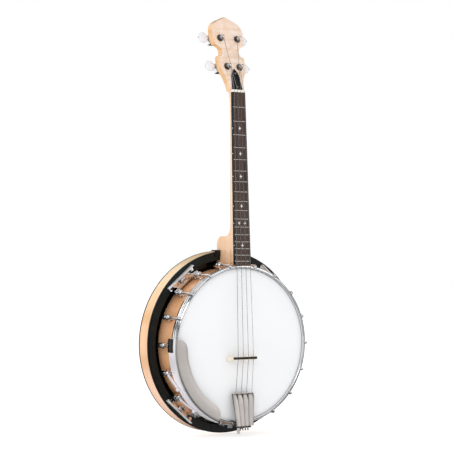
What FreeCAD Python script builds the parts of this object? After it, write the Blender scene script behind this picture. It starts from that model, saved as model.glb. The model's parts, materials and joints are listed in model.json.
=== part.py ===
import FreeCAD, Part
import math
import os

# Four-string resonator banjo, in millimetres.
# +Z runs up the neck, the head faces -Y, and +X is the player's treble side.
# Everything is laid out about the centre of the head's playing face and then
# moved once, so that the origin is where a wall hanger holds the neck.
V = FreeCAD.Vector
X_AXIS = V(1, 0, 0)
Y_AXIS = V(0, 1, 0)
Z_AXIS = V(0, 0, 1)
ZERO = V(0, 0, 0)
HANGER_POINT = V(0, 30.0, 476.0)

# Driving dimensions: pot
RIM_OUTER_R = 139.3
RIM_INNER_R = 120.7
RIM_FRONT = 12.2
RIM_BACK = 64.0
HEAD_R = 139.9
HEAD_THICK = 0.35
HOOP_OUTER_R = 145.4
HOOP_INNER_R = 140.1
HOOP_FRONT = -5.7
HOOP_LEDGE = -4.2
HOOP_BACK = 8.2
HOOK_CIRCLE_R = 148.0
HOOK_ROD_R = 2.1
SHOE_Y = 30.0
SHOE_R = 6.3
NECK_HOOK_ANGLE = 11.0
TAIL_HOOK_ANGLE = 172.5
HOOK_ANGLES = [NECK_HOOK_ANGLE] + [30.0 + 20.0 * i for i in range(7)] + [TAIL_HOOK_ANGLE]
ALL_HOOKS = [-a for a in reversed(HOOK_ANGLES)] + HOOK_ANGLES
BRACKET_ANGLES = [40.0, 140.0, -140.0, -40.0]
BRACKETED_HOOKS = [30.0, 50.0, 130.0, 150.0]
ROD_YS = [34.0, 54.0]
ROD_R = 3.1

# Driving dimensions: neck
SCALE = 501.65
FRETS = 17
NUT_POINT = V(0, 15.25, 466.6)
NECK_TILT = 3.56
BOARD_THICK = 5.5
BOARD_LENGTH = 320.5
BOARD_HALF_NUT = 13.3
BOARD_HALF_END = 16.95
BINDING = 0.9
HEEL_HALF = 14.0
HEEL_BACK = 62.0

# Driving dimensions: peghead
PEG_POINT = V(0, 15.5, 468.5)
PEG_TILT = 17.3
PEG_FACE = 4.5
VENEER = 1.5
PEG_WOOD = 13.0
PEG_BACK = PEG_FACE + VENEER + PEG_WOOD
POSTS = [(-19.0, 107.0), (19.0, 107.0), (-14.0, 50.2), (14.0, 50.2)]

# Driving dimensions: resonator
RES_RISE = 1.5
RES_OUTER_R = 169.5
RES_INNER_R = 163.5
RES_FRONT = 50.0
RES_BACK = 86.0
RING_INNER_R = 153.8
RING_OUTER_R = 166.5
RING_THICK = 5.4
NOTCH_HALF = HEEL_HALF + 0.6
NOTCH_BACK = HEEL_BACK + 3.5
SCREW_R = 154.0

# Driving dimensions: strings and bridge
BRIDGE_Z = -23.75
BRIDGE_TOP = -17.6
STRING_RADII = [0.33, 0.25, 0.18, 0.13]
BRIDGE_SPACING = 11.4
NUT_SPACING = 7.2
TAIL_SPACING = 11.8
POST_R = 3.0
WORM_OFFSET = 6.8


# ---- general shapes -------------------------------------------------------
def box(x0, x1, y0, y1, z0, z1):
    return Part.makeBox(x1 - x0, y1 - y0, z1 - z0, V(x0, y0, z0))


def rod(start, end, radius):
    return Part.makeCylinder(radius, (end - start).Length, start, end - start)


def disc(radius, front, back, x=0.0, z=0.0):
    """A cylinder along Y about (x, z)."""
    return rod(V(x, front, z), V(x, back, z), radius)


def hexagon(across, front, back, x=0.0, z=0.0):
    """A hexagonal prism along Y about (x, z)."""
    corner = across / math.sqrt(3.0)
    points = [(x + corner * math.cos(math.radians(60 * i)),
               z + corner * math.sin(math.radians(60 * i))) for i in range(6)]
    return prism(points, front, back)


def prism(points, front, back):
    """A polygon of (x, z) points carried along Y."""
    corners = [V(x, front, z) for x, z in points]
    face = Part.Face(Part.makePolygon(corners + [corners[0]]))
    return face.extrude(V(0, back - front, 0))


def side_prism(points, x0, x1):
    """A polygon of (y, z) points carried along X."""
    corners = [V(x0, y, z) for y, z in points]
    face = Part.Face(Part.makePolygon(corners + [corners[0]]))
    return face.extrude(V(x1 - x0, 0, 0))


def turned(profile, degrees=360.0):
    """A closed profile of (radius, y) points turned about the pot's axis, from the top."""
    corners = [V(0, y, r) for r, y in profile]
    face = Part.Face(Part.makePolygon(corners + [corners[0]]))
    return face.revolve(ZERO, Y_AXIS, degrees)


def moved(shape, x=0.0, y=0.0, z=0.0):
    shape = shape.copy()
    shape.translate(V(x, y, z))
    return shape


def at_angle(shape, degrees):
    """Turns a shape made at the top of the pot round to its hour."""
    shape = shape.copy()
    shape.rotate(ZERO, Y_AXIS, degrees)
    return shape


def on_pot(radius, degrees, y):
    angle = math.radians(degrees)
    return V(radius * math.sin(angle), y, radius * math.cos(angle))


def cut_all(shape, tools):
    return shape.cut(Part.makeCompound(tools)) if tools else shape


def fuse_all(shapes):
    return shapes[0].multiFuse(shapes[1:]).removeSplitter()


def group(shapes):
    return Part.makeCompound(shapes)


def on_neck(shape):
    """Neck frame (x, depth behind the board's face, distance above the nut) to the pot's frame."""
    shape = shape.copy()
    shape.rotate(ZERO, X_AXIS, -NECK_TILT)
    shape.translate(NUT_POINT)
    return shape


def on_peghead(shape):
    """Peghead frame (x, depth, distance above the nut) to the pot's frame."""
    shape = shape.copy()
    shape.rotate(ZERO, X_AXIS, -PEG_TILT)
    shape.translate(PEG_POINT)
    return shape


def peg_place(x, depth, s):
    tilt = math.radians(PEG_TILT)
    along = V(0, math.sin(tilt), math.cos(tilt)) * s
    back = V(0, math.cos(tilt), -math.sin(tilt)) * depth
    return PEG_POINT + V(x, 0, 0) + along + back


def neck_place(x, depth, s):
    tilt = math.radians(NECK_TILT)
    along = V(0, math.sin(tilt), math.cos(tilt)) * s
    back = V(0, math.cos(tilt), -math.sin(tilt)) * depth
    return NUT_POINT + V(x, 0, 0) + along + back


# ---- pot ------------------------------------------------------------------
def radial_rod(degrees, inner, outer, radius, y):
    return rod(on_pot(inner, degrees, y), on_pot(outer, degrees, y), radius)


def rim():
    wall = turned([(RIM_INNER_R, RIM_FRONT), (RIM_OUTER_R, RIM_FRONT),
                   (RIM_OUTER_R, RIM_BACK), (RIM_INNER_R, RIM_BACK)])
    holes = [radial_rod(a, 118, 142, 2.1, SHOE_Y) for a in ALL_HOOKS]
    holes += [rod(V(0, y, -145), V(0, y, 145), ROD_R + 0.2) for y in ROD_YS]
    return cut_all(wall, holes)


def tone_ring():
    return turned([(124.0, RIM_FRONT), (124.0, 9.0), (134.0, 4.2), (136.0, HEAD_THICK),
                   (138.4, HEAD_THICK), (RIM_OUTER_R, 1.4), (RIM_OUTER_R, RIM_FRONT)])


def head_skin():
    return turned([(0, 0), (HEAD_R - 0.5, 0), (HEAD_R - 0.5, HEAD_THICK), (0, HEAD_THICK)])


def head_collar():
    """The head's turned-down edge, which the flesh hoop holds."""
    return turned([(HEAD_R - 0.45, 0.05), (HEAD_R, 0.4), (HEAD_R, 9.8), (RIM_OUTER_R + 0.1, 9.8),
                   (RIM_OUTER_R + 0.1, 1.3), (HEAD_R - 0.45, 0.8)])


def flesh_hoop():
    return turned([(HEAD_R + 0.1, HOOP_BACK + 0.1), (143.8, HOOP_BACK + 0.1),
                   (143.8, 11.6), (HEAD_R + 0.1, 11.6)])


def tension_hoop():
    """Flat bezel with a raised inner edge and an outer ledge for the hooks."""
    bevel = 0.5
    return turned([(HOOP_INNER_R, HOOP_BACK), (HOOP_INNER_R, HOOP_FRONT + bevel),
                   (HOOP_INNER_R + bevel, HOOP_FRONT), (142.2, HOOP_FRONT),
                   (142.7, HOOP_FRONT + bevel), (142.7, HOOP_LEDGE),
                   (HOOP_OUTER_R - bevel, HOOP_LEDGE), (HOOP_OUTER_R, HOOP_LEDGE + bevel),
                   (HOOP_OUTER_R, HOOP_BACK)])


def bracket_hooks():
    tab = box(-2.7, 2.7, HOOP_LEDGE - 2.8, HOOP_LEDGE - 0.1, 142.9, HOOK_CIRCLE_R + HOOK_ROD_R)
    tab = tab.makeFillet(0.8, [e for e in tab.Edges if abs(e.CenterOfMass.y - HOOP_LEDGE + 2.8) < 0.1])
    hook = tab.fuse(disc(HOOK_ROD_R, HOOP_LEDGE - 1.5, 50.8, 0, HOOK_CIRCLE_R))
    return group([at_angle(hook, a) for a in ALL_HOOKS])


def bracket_shoes():
    ball = Part.makeSphere(SHOE_R, V(0, SHOE_Y, HOOK_CIRCLE_R))
    stem = rod(V(0, SHOE_Y, RIM_OUTER_R + 0.1), V(0, SHOE_Y, HOOK_CIRCLE_R), 3.6)
    foot = rod(V(0, SHOE_Y, RIM_OUTER_R + 0.1), V(0, SHOE_Y, 141.2), 4.4)
    shoe = fuse_all([ball, stem, foot])
    hook_hole = disc(HOOK_ROD_R + 0.25, 20, 40, 0, HOOK_CIRCLE_R)
    bolt_hole = rod(V(0, SHOE_Y, 138), V(0, SHOE_Y, 145.2), 1.95)
    shoe = cut_all(shoe, [hook_hole, bolt_hole])
    return group([at_angle(shoe, a) for a in ALL_HOOKS])


def shoe_bolts():
    shank = rod(V(0, SHOE_Y, 119.0), V(0, SHOE_Y, 144.8), 1.9)
    washer = rod(V(0, SHOE_Y, 119.2), V(0, SHOE_Y, 120.0), 5.2)
    head = rod(V(0, SHOE_Y, 116.0), V(0, SHOE_Y, 119.2), 3.9)
    bolt = fuse_all([shank, washer, head])
    return group([at_angle(bolt, a) for a in ALL_HOOKS])


def bracket_nuts():
    bore = disc(HOOK_ROD_R + 0.05, 30, 60, 0, HOOK_CIRCLE_R)
    nuts = []
    for angle in ALL_HOOKS:
        front = 39.4 if abs(angle) in BRACKETED_HOOKS else 36.6
        nut = hexagon(8.0, front, front + 9.6, 0, HOOK_CIRCLE_R).cut(bore)
        nuts.append(at_angle(nut, angle))
    return group(nuts)


def coordinator_rods():
    upper = rod(V(0, ROD_YS[0], -158), V(0, ROD_YS[0], 104), ROD_R)
    lower = rod(V(0, ROD_YS[1], -147), V(0, ROD_YS[1], 104), ROD_R)
    return group([upper, lower])


def coordinator_nuts():
    """Coupling sleeves at the neck end, and lock nuts inside and outside the rim."""
    nuts = []
    for y in ROD_YS:
        sleeve = rod(V(0, y, 95), V(0, y, 113.6), 5.0)
        nuts.append(sleeve.cut(rod(V(0, y, 90), V(0, y, 120), ROD_R + 0.05)))
        bore = rod(V(0, y, -160), V(0, y, 130), ROD_R + 0.05)
        for low in (-119.8, -144.8):
            nuts.append(rod(V(0, y, low), V(0, y, low + 4.6), 5.4).cut(bore))
        nuts.append(rod(V(0, y, 115.0), V(0, y, 119.6), 5.0).cut(bore))
    y = ROD_YS[0]
    tail_nut = rod(V(0, y, -157.2), V(0, y, -152.6), 5.4)
    nuts.append(tail_nut.cut(rod(V(0, y, -160), V(0, y, -150), ROD_R + 0.05)))
    return group(nuts)


# ---- neck -----------------------------------------------------------------
def fret_place(number):
    return -SCALE * (1.0 - 2.0 ** (-number / 12.0))


def board_half(s):
    return BOARD_HALF_NUT + (BOARD_HALF_END - BOARD_HALF_NUT) * (-s / BOARD_LENGTH)


def neck_section(s, half, deep, power):
    """A superellipse behind the board's glue line: power 2 is round, and more is squarer."""
    points = []
    for i in range(13):
        angle = math.pi * i / 12
        across = math.copysign(abs(math.cos(angle)) ** (2.0 / power), math.cos(angle))
        points.append(V(half * across, BOARD_THICK + deep * math.sin(angle) ** (2.0 / power), s))
    curve = Part.BSplineCurve()
    curve.interpolate(points)
    return Part.Wire([curve.toShape(), Part.LineSegment(points[-1], points[0]).toShape()])


def neck_shaft():
    stations = [(7.0, 14.2, 6.0), (-4.0, 12.6, 3.0), (-18.0, 12.2, 2.2), (-60.0, 12.8, 2.1),
                (-162.0, 16.8, 2.1), (-250.0, 21.0, 2.1), (-316.0, 25.0, 2.1)]
    wires = [neck_section(s, board_half(min(s, 0.0)) + BINDING, deep, power) for s, deep, power in stations]
    return Part.makeLoft(wires, True, True)


def heel():
    """The deep block that meets the pot, rounded at its upper back corner."""
    corner = V(0, HEEL_BACK, 183.0)
    start = V(0, 1.0, 136.0)
    edges = [Part.LineSegment(start, V(0, HEEL_BACK, 136.0)).toShape(),
             Part.LineSegment(V(0, HEEL_BACK, 136.0), corner).toShape(),
             Part.Arc(corner, V(0, 57.4, 194.6), V(0, 46.0, 199.4)).toShape(),
             Part.LineSegment(V(0, 46.0, 199.4), V(0, 33.0, 199.4)).toShape(),
             Part.Arc(V(0, 33.0, 199.4), V(0, 24.6, 203.2), V(0, 19.5, 212.0)).toShape(),
             Part.LineSegment(V(0, 19.5, 212.0), V(0, 8.0, 212.0)).toShape(),
             Part.LineSegment(V(0, 8.0, 212.0), start).toShape()]
    face = Part.Face(Part.Wire(edges))
    face.translate(V(-HEEL_HALF, 0, 0))
    return face.extrude(V(2 * HEEL_HALF, 0, 0))


# Right half of the peghead's outline: each step ends at its last (x, s) point,
# and a step with two points is an arc through the first of them.
PEG_OUTLINE = [[(16.8, 19.0), (22.6, 34.6)],
               [(26.9, 46.0), (28.3, 57.5)],
               [(28.0, 67.5)],
               [(25.8, 70.2), (21.6, 71.2)],
               [(18.3, 79.0), (20.4, 87.0)],
               [(25.0, 90.6), (31.2, 93.2)],
               [(34.3, 107.0), (33.9, 120.0)],
               [(30.6, 131.4), (21.4, 140.0)],
               [(12.6, 144.6), (5.0, 147.6)],
               [(2.8, 149.2), (0.0, 151.0)]]
PEG_START = (14.2, 1.6)


def peg_plate(depth, thick):
    """The peghead's outline as a plate; its edges are cut square to the pot, not to its face."""
    edges = []
    for side in (1, -1):
        last = PEG_START
        for step in PEG_OUTLINE:
            points = [V(side * x, depth, s) for x, s in [last] + step]
            edge = Part.Arc(*points) if len(points) == 3 else Part.LineSegment(*points)
            edges.append(edge.toShape())
            last = step[-1]
    foot = [V(side * PEG_START[0], depth, PEG_START[1]) for side in (-1, 1)]
    edges.append(Part.LineSegment(*foot).toShape())
    wire = Part.Wire(Part.__sortEdges__(edges))
    slant = math.tan(math.radians(PEG_TILT))
    plate = Part.Face(wire).extrude(V(0, thick, thick * slant))
    plate.translate(V(0, 0, (depth - PEG_FACE) * slant))
    return plate


def post_holes(radius, front, back):
    return [disc(radius, front, back, x, s) for x, s in POSTS]


def screw_places():
    """(x, s) of the one small screw that holds each tuner's housing."""
    return [(x, s - 9.0) for x, s in POSTS]


def neck():
    shaft = on_neck(neck_shaft())
    plate = on_peghead(peg_plate(PEG_FACE + VENEER, PEG_WOOD))
    blank = fuse_all([shaft, plate, heel()])
    board_space = on_neck(box(-30, 30, -20, BOARD_THICK, -340, 4.6))
    pot_space = disc(HOOP_OUTER_R + 0.5, -30, 13.0).fuse(disc(RIM_OUTER_R + 0.3, 10, 80))
    veneer_space = on_peghead(box(-45, 45, -20, PEG_FACE + VENEER, -1.9, 170))
    channel = on_neck(box(-3.2, 3.2, BOARD_THICK - 1, BOARD_THICK + 8.0, -300, 1))
    pocket = on_peghead(box(-4.0, 4.0, PEG_FACE, PEG_FACE + 7.5, -4, 24))
    tools = [board_space, pot_space, veneer_space, channel, pocket]
    tools += [on_peghead(hole) for hole in post_holes(4.7, 0, 25)]
    tools += [on_peghead(disc(1.2, 10.4, 25, x, s)) for x, s in screw_places()]
    tools += [rod(V(0, y, 135), V(0, y, 176), 2.75) for y in ROD_YS]
    return cut_all(blank, tools)


def cover_outline(grow=0.0):
    """Bell-shaped outline of the cover over the truss rod's nut."""
    steps = [[(-11.0, 3.6)], [(-10.2, 14.0), (-8.6, 24.0)], [(-8.4, 30.0), (-7.0, 35.5)],
             [(-3.6, 41.2), (0.0, 45.6)], [(3.6, 41.2), (7.0, 35.5)],
             [(8.4, 30.0), (8.6, 24.0)], [(10.2, 14.0), (11.0, 3.6)]]
    edges = []
    last = (11.0, 3.6)
    for step in steps:
        points = [V(x, 0, s) for x, s in [last] + step]
        edge = Part.Arc(*points) if len(points) == 3 else Part.LineSegment(*points)
        edges.append(edge.toShape())
        last = step[-1]
    return Part.Face(Part.Wire(edges))


COVER_SCREWS = [(0.0, 9.0), (0.0, 36.0)]


def peghead_veneer():
    plate = peg_plate(PEG_FACE, VENEER)
    tools = post_holes(4.7, 0, 25) + [box(-4.0, 4.0, 0, 20, -4, 24), box(-20, 20, 0, 20, -4, 4.2)]
    tools += [disc(1.0, 0, 20, x, s) for x, s in COVER_SCREWS]
    return on_peghead(cut_all(plate, tools))


def truss_rod_cover():
    plate = cover_outline().extrude(V(0, 2.0, 0))
    plate.translate(V(0, PEG_FACE - 2.05, 0))
    return on_peghead(cut_all(plate, [disc(1.25, 0, 20, x, s) for x, s in COVER_SCREWS]))


def truss_rod():
    bar = on_neck(rod(V(0, BOARD_THICK + 3.6, -296), V(0, BOARD_THICK + 3.6, 0.5), 2.6))
    nut = on_peghead(rod(V(0, PEG_FACE + 4.2, 1.6), V(0, PEG_FACE + 4.2, 7.6), 3.2))
    link = rod(neck_place(0, BOARD_THICK + 3.6, 0), peg_place(0, PEG_FACE + 4.2, 2.4), 2.2)
    return fuse_all([bar, link, nut])


def peghead_screws():
    screws = []
    for x, s in screw_places():
        shank = disc(1.1, 11.0, PEG_BACK + 2.0, x, s)
        head = disc(2.4, PEG_BACK + 1.7, PEG_BACK + 3.3, x, s)
        screws.append(on_peghead(shank.fuse(head)))
    for x, s in COVER_SCREWS:
        shank = disc(0.95, PEG_FACE - 2.1, PEG_FACE + VENEER - 0.1, x, s)
        head = disc(1.9, PEG_FACE - 3.1, PEG_FACE - 2.08, x, s)
        screws.append(on_peghead(shank.fuse(head)))
    return group(screws)


def neck_hanger_bolts():
    return group([rod(V(0, y, 104.4), V(0, y, 174), 2.6) for y in ROD_YS])


def star(x, s, reach, waist, front, back):
    """A four-pointed star, its long points up and down the neck."""
    points = []
    for i in range(8):
        angle = math.radians(45 * i)
        radius = reach if i % 2 == 0 else waist
        points.append((x + 0.8 * radius * math.sin(angle), s + radius * math.cos(angle)))
    return prism(points, front, back)


def inlay_places():
    """(fret, x offsets) of the position markers."""
    return [(3, [0.0]), (5, [0.0]), (7, [0.0]), (10, [0.0]), (12, [-6.4, 6.4]), (15, [0.0])]


def between_frets(number):
    return 0.5 * (fret_place(number) + fret_place(number - 1))


def inlay_solids(clear):
    return [star(x, between_frets(n), 4.2 + clear, 1.5 + clear, -0.01 if clear else 0.0, 1.2 + clear)
            for n, offsets in inlay_places() for x in offsets]


def dot_solids(clear):
    dots = []
    for number, _ in inlay_places():
        s = between_frets(number)
        edge = -board_half(s) - BINDING
        dots.append(rod(V(edge - clear, 2.4, s), V(edge + 0.7 + clear, 2.4, s), 1.0 + clear))
    return dots


def board_prism(inner_add, outer_add, side):
    """A strip of the board between two offsets from its tapering edge."""
    corners = []
    for s, add in ((0, inner_add), (-BOARD_LENGTH, inner_add), (-BOARD_LENGTH, outer_add), (0, outer_add)):
        corners.append((side * (board_half(s) + add), s))
    return prism(corners, 0.0, BOARD_THICK - 0.05)


def fingerboard():
    half0 = board_half(0)
    half1 = board_half(-BOARD_LENGTH)
    plate = prism([(-half0, 0), (half0, 0), (half1, -BOARD_LENGTH), (-half1, -BOARD_LENGTH)],
                  0.0, BOARD_THICK - 0.05)
    slots = [box(-20, 20, -1, 1.9, s - 0.33, s + 0.33) for s in map(fret_place, range(1, FRETS + 1))]
    return on_neck(cut_all(plate, slots + inlay_solids(0.05)))


def fingerboard_binding():
    strips = [board_prism(0.02, BINDING, side) for side in (-1, 1)]
    strips[0] = cut_all(strips[0], dot_solids(0.03))
    return on_neck(group(strips))


def frets():
    wires = []
    for number in range(1, FRETS + 1):
        s = fret_place(number)
        half = board_half(s)
        crown = rod(V(-half, 0.25, s), V(half, 0.25, s), 1.3)
        crown = crown.common(box(-20, 20, -2, -0.02, s - 2, s + 2))
        tang = box(-half, half, -0.3, 1.8, s - 0.3, s + 0.3)
        wires.append(crown.fuse(tang).removeSplitter())
    return on_neck(group(wires))


def pearl_inlays():
    return on_neck(group(inlay_solids(0.0) + dot_solids(0.0)))


def string_xs(spacing):
    return [spacing * (i - 1.5) for i in range(4)]


def nut():
    half = board_half(0) + BINDING
    block = box(-half, half, -1.3, BOARD_THICK - 0.05, 0.05, 4.4)
    slots = [rod(V(x, -1.1, -2), V(x, -1.1, 8), 0.45) for x in string_xs(NUT_SPACING)]
    return on_neck(cut_all(block, slots))


# ---- bridge, strings and tailpiece ------------------------------------------
def bridge_wedge():
    """The bridge's side view: upright towards the neck, sloping out to thick feet towards the tail."""
    return side_prism([(0.0, BRIDGE_Z - 7.2), (0.0, BRIDGE_Z + 1.9),
                       (BRIDGE_TOP, BRIDGE_Z + 1.7), (BRIDGE_TOP, BRIDGE_Z - 1.7)], -40, 40)


def bridge_base():
    seam = BRIDGE_TOP + 3.0
    corners = [V(-31, -0.05, BRIDGE_Z - 9), V(-31, -3.0, BRIDGE_Z - 9), V(-26, seam, BRIDGE_Z - 9),
               V(26, seam, BRIDGE_Z - 9), V(31, -3.0, BRIDGE_Z - 9), V(31, -0.05, BRIDGE_Z - 9)]
    face = Part.Face(Part.makePolygon(corners + [corners[0]]))
    body = face.extrude(V(0, 0, 14)).common(bridge_wedge())
    arches = [rod(V(x, 3.2, BRIDGE_Z - 10), V(x, 3.2, BRIDGE_Z + 6), 11.4) for x in (-13.5, 13.5)]
    return cut_all(body, arches)


def bridge_cap():
    cap = box(-25.6, 25.6, BRIDGE_TOP, BRIDGE_TOP + 2.95, BRIDGE_Z - 5, BRIDGE_Z + 5)
    cap = cap.common(bridge_wedge())
    slots = [rod(V(x, BRIDGE_TOP, BRIDGE_Z - 6), V(x, BRIDGE_TOP, BRIDGE_Z + 6), 0.45)
             for x in string_xs(BRIDGE_SPACING)]
    return cut_all(cap, slots)


TAIL_FOOT = V(0, -18.0, -148.9)
TAIL_TILT = 5.8
TAIL_LENGTH = 62.0


def on_tail(shape):
    """Tailpiece frame (x, depth, distance from the tail end) to the pot's frame."""
    shape = shape.copy()
    shape.rotate(ZERO, X_AXIS, -TAIL_TILT)
    shape.translate(TAIL_FOOT)
    return shape


def tail_place(x, depth, s):
    tilt = math.radians(TAIL_TILT)
    return TAIL_FOOT + V(x, depth * math.cos(tilt) + s * math.sin(tilt),
                         s * math.cos(tilt) - depth * math.sin(tilt))


def tailpiece_fingers():
    fingers = []
    for i in range(4):
        low = 7.1 * (i - 1.5)
        high = TAIL_SPACING * (i - 1.5)
        plate = prism([(low - 3.3, -3), (low + 3.3, -3), (high + 5.6, TAIL_LENGTH),
                       (high - 5.6, TAIL_LENGTH)], 0.0, 1.5)
        slot = box(high - 0.7, high + 0.7, -1, 3, TAIL_LENGTH - 10, TAIL_LENGTH - 3)
        fingers.append(on_tail(plate.cut(slot)))
    return group(fingers)


def tailpiece_frame():
    """Tail block with its string pins, and two cheeks under the outer fingers."""
    block = box(-14.0, 14.0, 1.6, 8.2, -3.0, 5.0)
    cheeks = [prism([(side * 13.9, -3), (side * 12.3, -3), (side * 21.5, TAIL_LENGTH - 2),
                     (side * 23.1, TAIL_LENGTH - 2)], 1.6, 6.0) for side in (-1, 1)]
    pins = [rod(V(x, 4.4, -7.6), V(x, 4.4, -2), 1.1) for x in string_xs(5.7)]
    knobs = [rod(V(x, 4.4, -7.6), V(x, 4.4, -6.6), 1.6) for x in string_xs(5.7)]
    frame = fuse_all([block] + cheeks + pins + knobs)
    eye_space = box(-6.3, 6.3, 2.6, 12, -4.0, 4.6).common(box(-6.3, 6.3, 2.6, 12, -2.9, 4.6))
    pin_hole = rod(V(-20, 5.6, 1.0), V(20, 5.6, 1.0), 1.35)
    grooves = [box(min(x, 1.17 * x) - 0.6, max(x, 1.17 * x) + 0.6, 0, 3.45, -4, 6) for x in string_xs(5.7)]
    return on_tail(cut_all(frame, [eye_space, pin_hole] + grooves))


def tailpiece_hinge_pin():
    return on_tail(rod(V(-15.2, 5.6, 1.0), V(15.2, 5.6, 1.0), 1.3))


def tailpiece_hanger():
    """Flat strap from the hinge, behind the hoop, down to the coordinator rod."""
    pin = tail_place(0, 5.6, 1.0)
    eye = rod(V(-6, pin.y, pin.z), V(6, pin.y, pin.z), 2.1)
    strap = box(-6, 6, pin.y, 40.0, pin.z - 2.0, pin.z - 0.2)
    bore = rod(V(-8, pin.y, pin.z), V(8, pin.y, pin.z), 1.35)
    rod_hole = rod(V(0, ROD_YS[0], -160), V(0, ROD_YS[0], -140), ROD_R + 0.1)
    screw_hole = rod(V(0, 4.0, -160), V(0, 4.0, -140), 1.7)
    return cut_all(eye.fuse(strap), [bore, rod_hole, screw_hole])


def tailpiece_adjuster():
    shank = rod(V(0, 4.0, -158), V(0, 4.0, -147.6), 1.6)
    knob = rod(V(0, 4.0, -165.5), V(0, 4.0, -153.8), 3.2)
    return shank.fuse(knob).removeSplitter()


def string_route(index):
    """Bends of one string, from its tail pin to its post."""
    post = [2, 0, 1, 3][index]
    x, s = POSTS[post]
    inner = 1 if x < 0 else -1
    post_side = x + inner * (POST_R + 0.85)
    return [tail_place(string_xs(5.7)[index], 2.9, -5.4),
            tail_place(string_xs(TAIL_SPACING)[index], 2.1, TAIL_LENGTH + 0.5),
            V(string_xs(BRIDGE_SPACING)[index], BRIDGE_TOP - 0.02, BRIDGE_Z),
            neck_place(string_xs(NUT_SPACING)[index], -1.15, 2.2),
            peg_place(post_side, PEG_FACE - 6.0, s)]


def strings():
    wound = []
    for index, radius in enumerate(STRING_RADII):
        route = string_route(index)
        parts = [rod(a, b, radius) for a, b in zip(route, route[1:])]
        parts += [Part.makeSphere(radius, p) for p in route[1:-1]]
        x, s = POSTS[[2, 0, 1, 3][index]]
        coil = disc(POST_R + 1.2, PEG_FACE - 6.6, PEG_FACE - 4.2, x, s)
        coil = coil.cut(disc(POST_R + 0.3, PEG_FACE - 8, PEG_FACE - 2, x, s))
        wound.append(fuse_all(parts + [on_peghead(coil)]))
    return group(wound)


# ---- armrest ----------------------------------------------------------------
ARM_START = -84.5
ARM_END = -158.5
ARM_WALL_R = 151.5
ARM_WALL_BACK = 9.0
CLAMP_HOOKS = [-110.0, -130.0]
CLAMP_REACH = -10.5
CLAMP_BOLT_Y = 5.0


def armrest():
    """Curved plate over the hoop, its outer edge turned down outside the hooks."""
    inside = ARM_WALL_R - 1.0
    section = [(124.0, -12.0), (144.0, -13.0), (147.2, -12.4), (149.8, -10.4), (ARM_WALL_R, -7.0),
               (ARM_WALL_R, ARM_WALL_BACK), (inside, ARM_WALL_BACK), (inside, -6.6),
               (149.2, -9.3), (147.0, -11.0), (144.0, -11.6), (124.0, -10.6)]
    sweep = at_angle(turned(section, ARM_START - ARM_END), ARM_END)
    start_turn = [on_pot(124.0, -90.5, 0), on_pot(128.0, -86.4, 0), on_pot(137.0, -84.5, 0)]
    end_turn = [on_pot(138.0, ARM_END, 0), on_pot(129.5, -156.2, 0), on_pot(124.0, -149.0, 0)]
    edges = [Part.Arc(*start_turn).toShape(),
             Part.LineSegment(start_turn[2], on_pot(160, ARM_START, 0)).toShape(),
             Part.Arc(on_pot(160, ARM_START, 0), on_pot(160, -120, 0), on_pot(160, ARM_END, 0)).toShape(),
             Part.LineSegment(on_pot(160, ARM_END, 0), end_turn[0]).toShape(),
             Part.Arc(*end_turn).toShape(),
             Part.Arc(end_turn[2], on_pot(124.0, -120, 0), start_turn[0]).toShape()]
    plan = Part.Face(Part.Wire(edges))
    plan.translate(V(0, -30, 0))
    plate = sweep.common(plan.extrude(V(0, 60, 0)))
    holes = [radial_rod(a + CLAMP_REACH, 148, 156, 1.7, CLAMP_BOLT_Y) for a in CLAMP_HOOKS]
    return cut_all(plate, holes)


def armrest_pad():
    section = [(ARM_WALL_R + 0.05, -6.6), (ARM_WALL_R + 1.3, -5.4), (ARM_WALL_R + 1.3, 9.4),
               (ARM_WALL_R + 0.05, 9.4)]
    return at_angle(turned(section, 9.4), ARM_START - 9.6)


def armrest_clamps():
    """Each arm grips a hook in front of its shoe and is bolted to the armrest's wall."""
    pieces = []
    for hook in CLAMP_HOOKS:
        eye = disc(4.4, 20.4, 22.4, 0, HOOK_CIRCLE_R)
        tongue = box(-3.2, 3.2, 20.4, 22.4, HOOK_CIRCLE_R, 154.2)
        start = V(0, 20.8, 0)
        end = on_pot(152.9, CLAMP_REACH, CLAMP_BOLT_Y)
        end.z = 0
        side = (end - start).cross(Z_AXIS).normalize() * 4.0
        tip = (end - start).normalize() * 3.0
        corners = [start + side, end + side + tip, end - side + tip, start - side]
        blade = Part.Face(Part.makePolygon(corners + [corners[0]])).extrude(V(0, 0, 170))
        band = turned([(152.3, -5), (153.9, -5), (153.9, 30), (152.3, 30)], 24).copy()
        arm = fuse_all([eye, tongue, at_angle(band, -20).common(blade)])
        bolt = radial_rod(CLAMP_REACH, 149.2, 157.4, 1.6, CLAMP_BOLT_Y)
        arm = cut_all(arm, [disc(HOOK_ROD_R + 0.1, 15, 30, 0, HOOK_CIRCLE_R),
                            radial_rod(CLAMP_REACH, 149, 162, 1.65, CLAMP_BOLT_Y)])
        nut_body = radial_rod(CLAMP_REACH, 154.0, 156.8, 3.2, CLAMP_BOLT_Y)
        pieces += [at_angle(arm, hook), at_angle(bolt.fuse(nut_body), hook)]
    return group(pieces)


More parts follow.
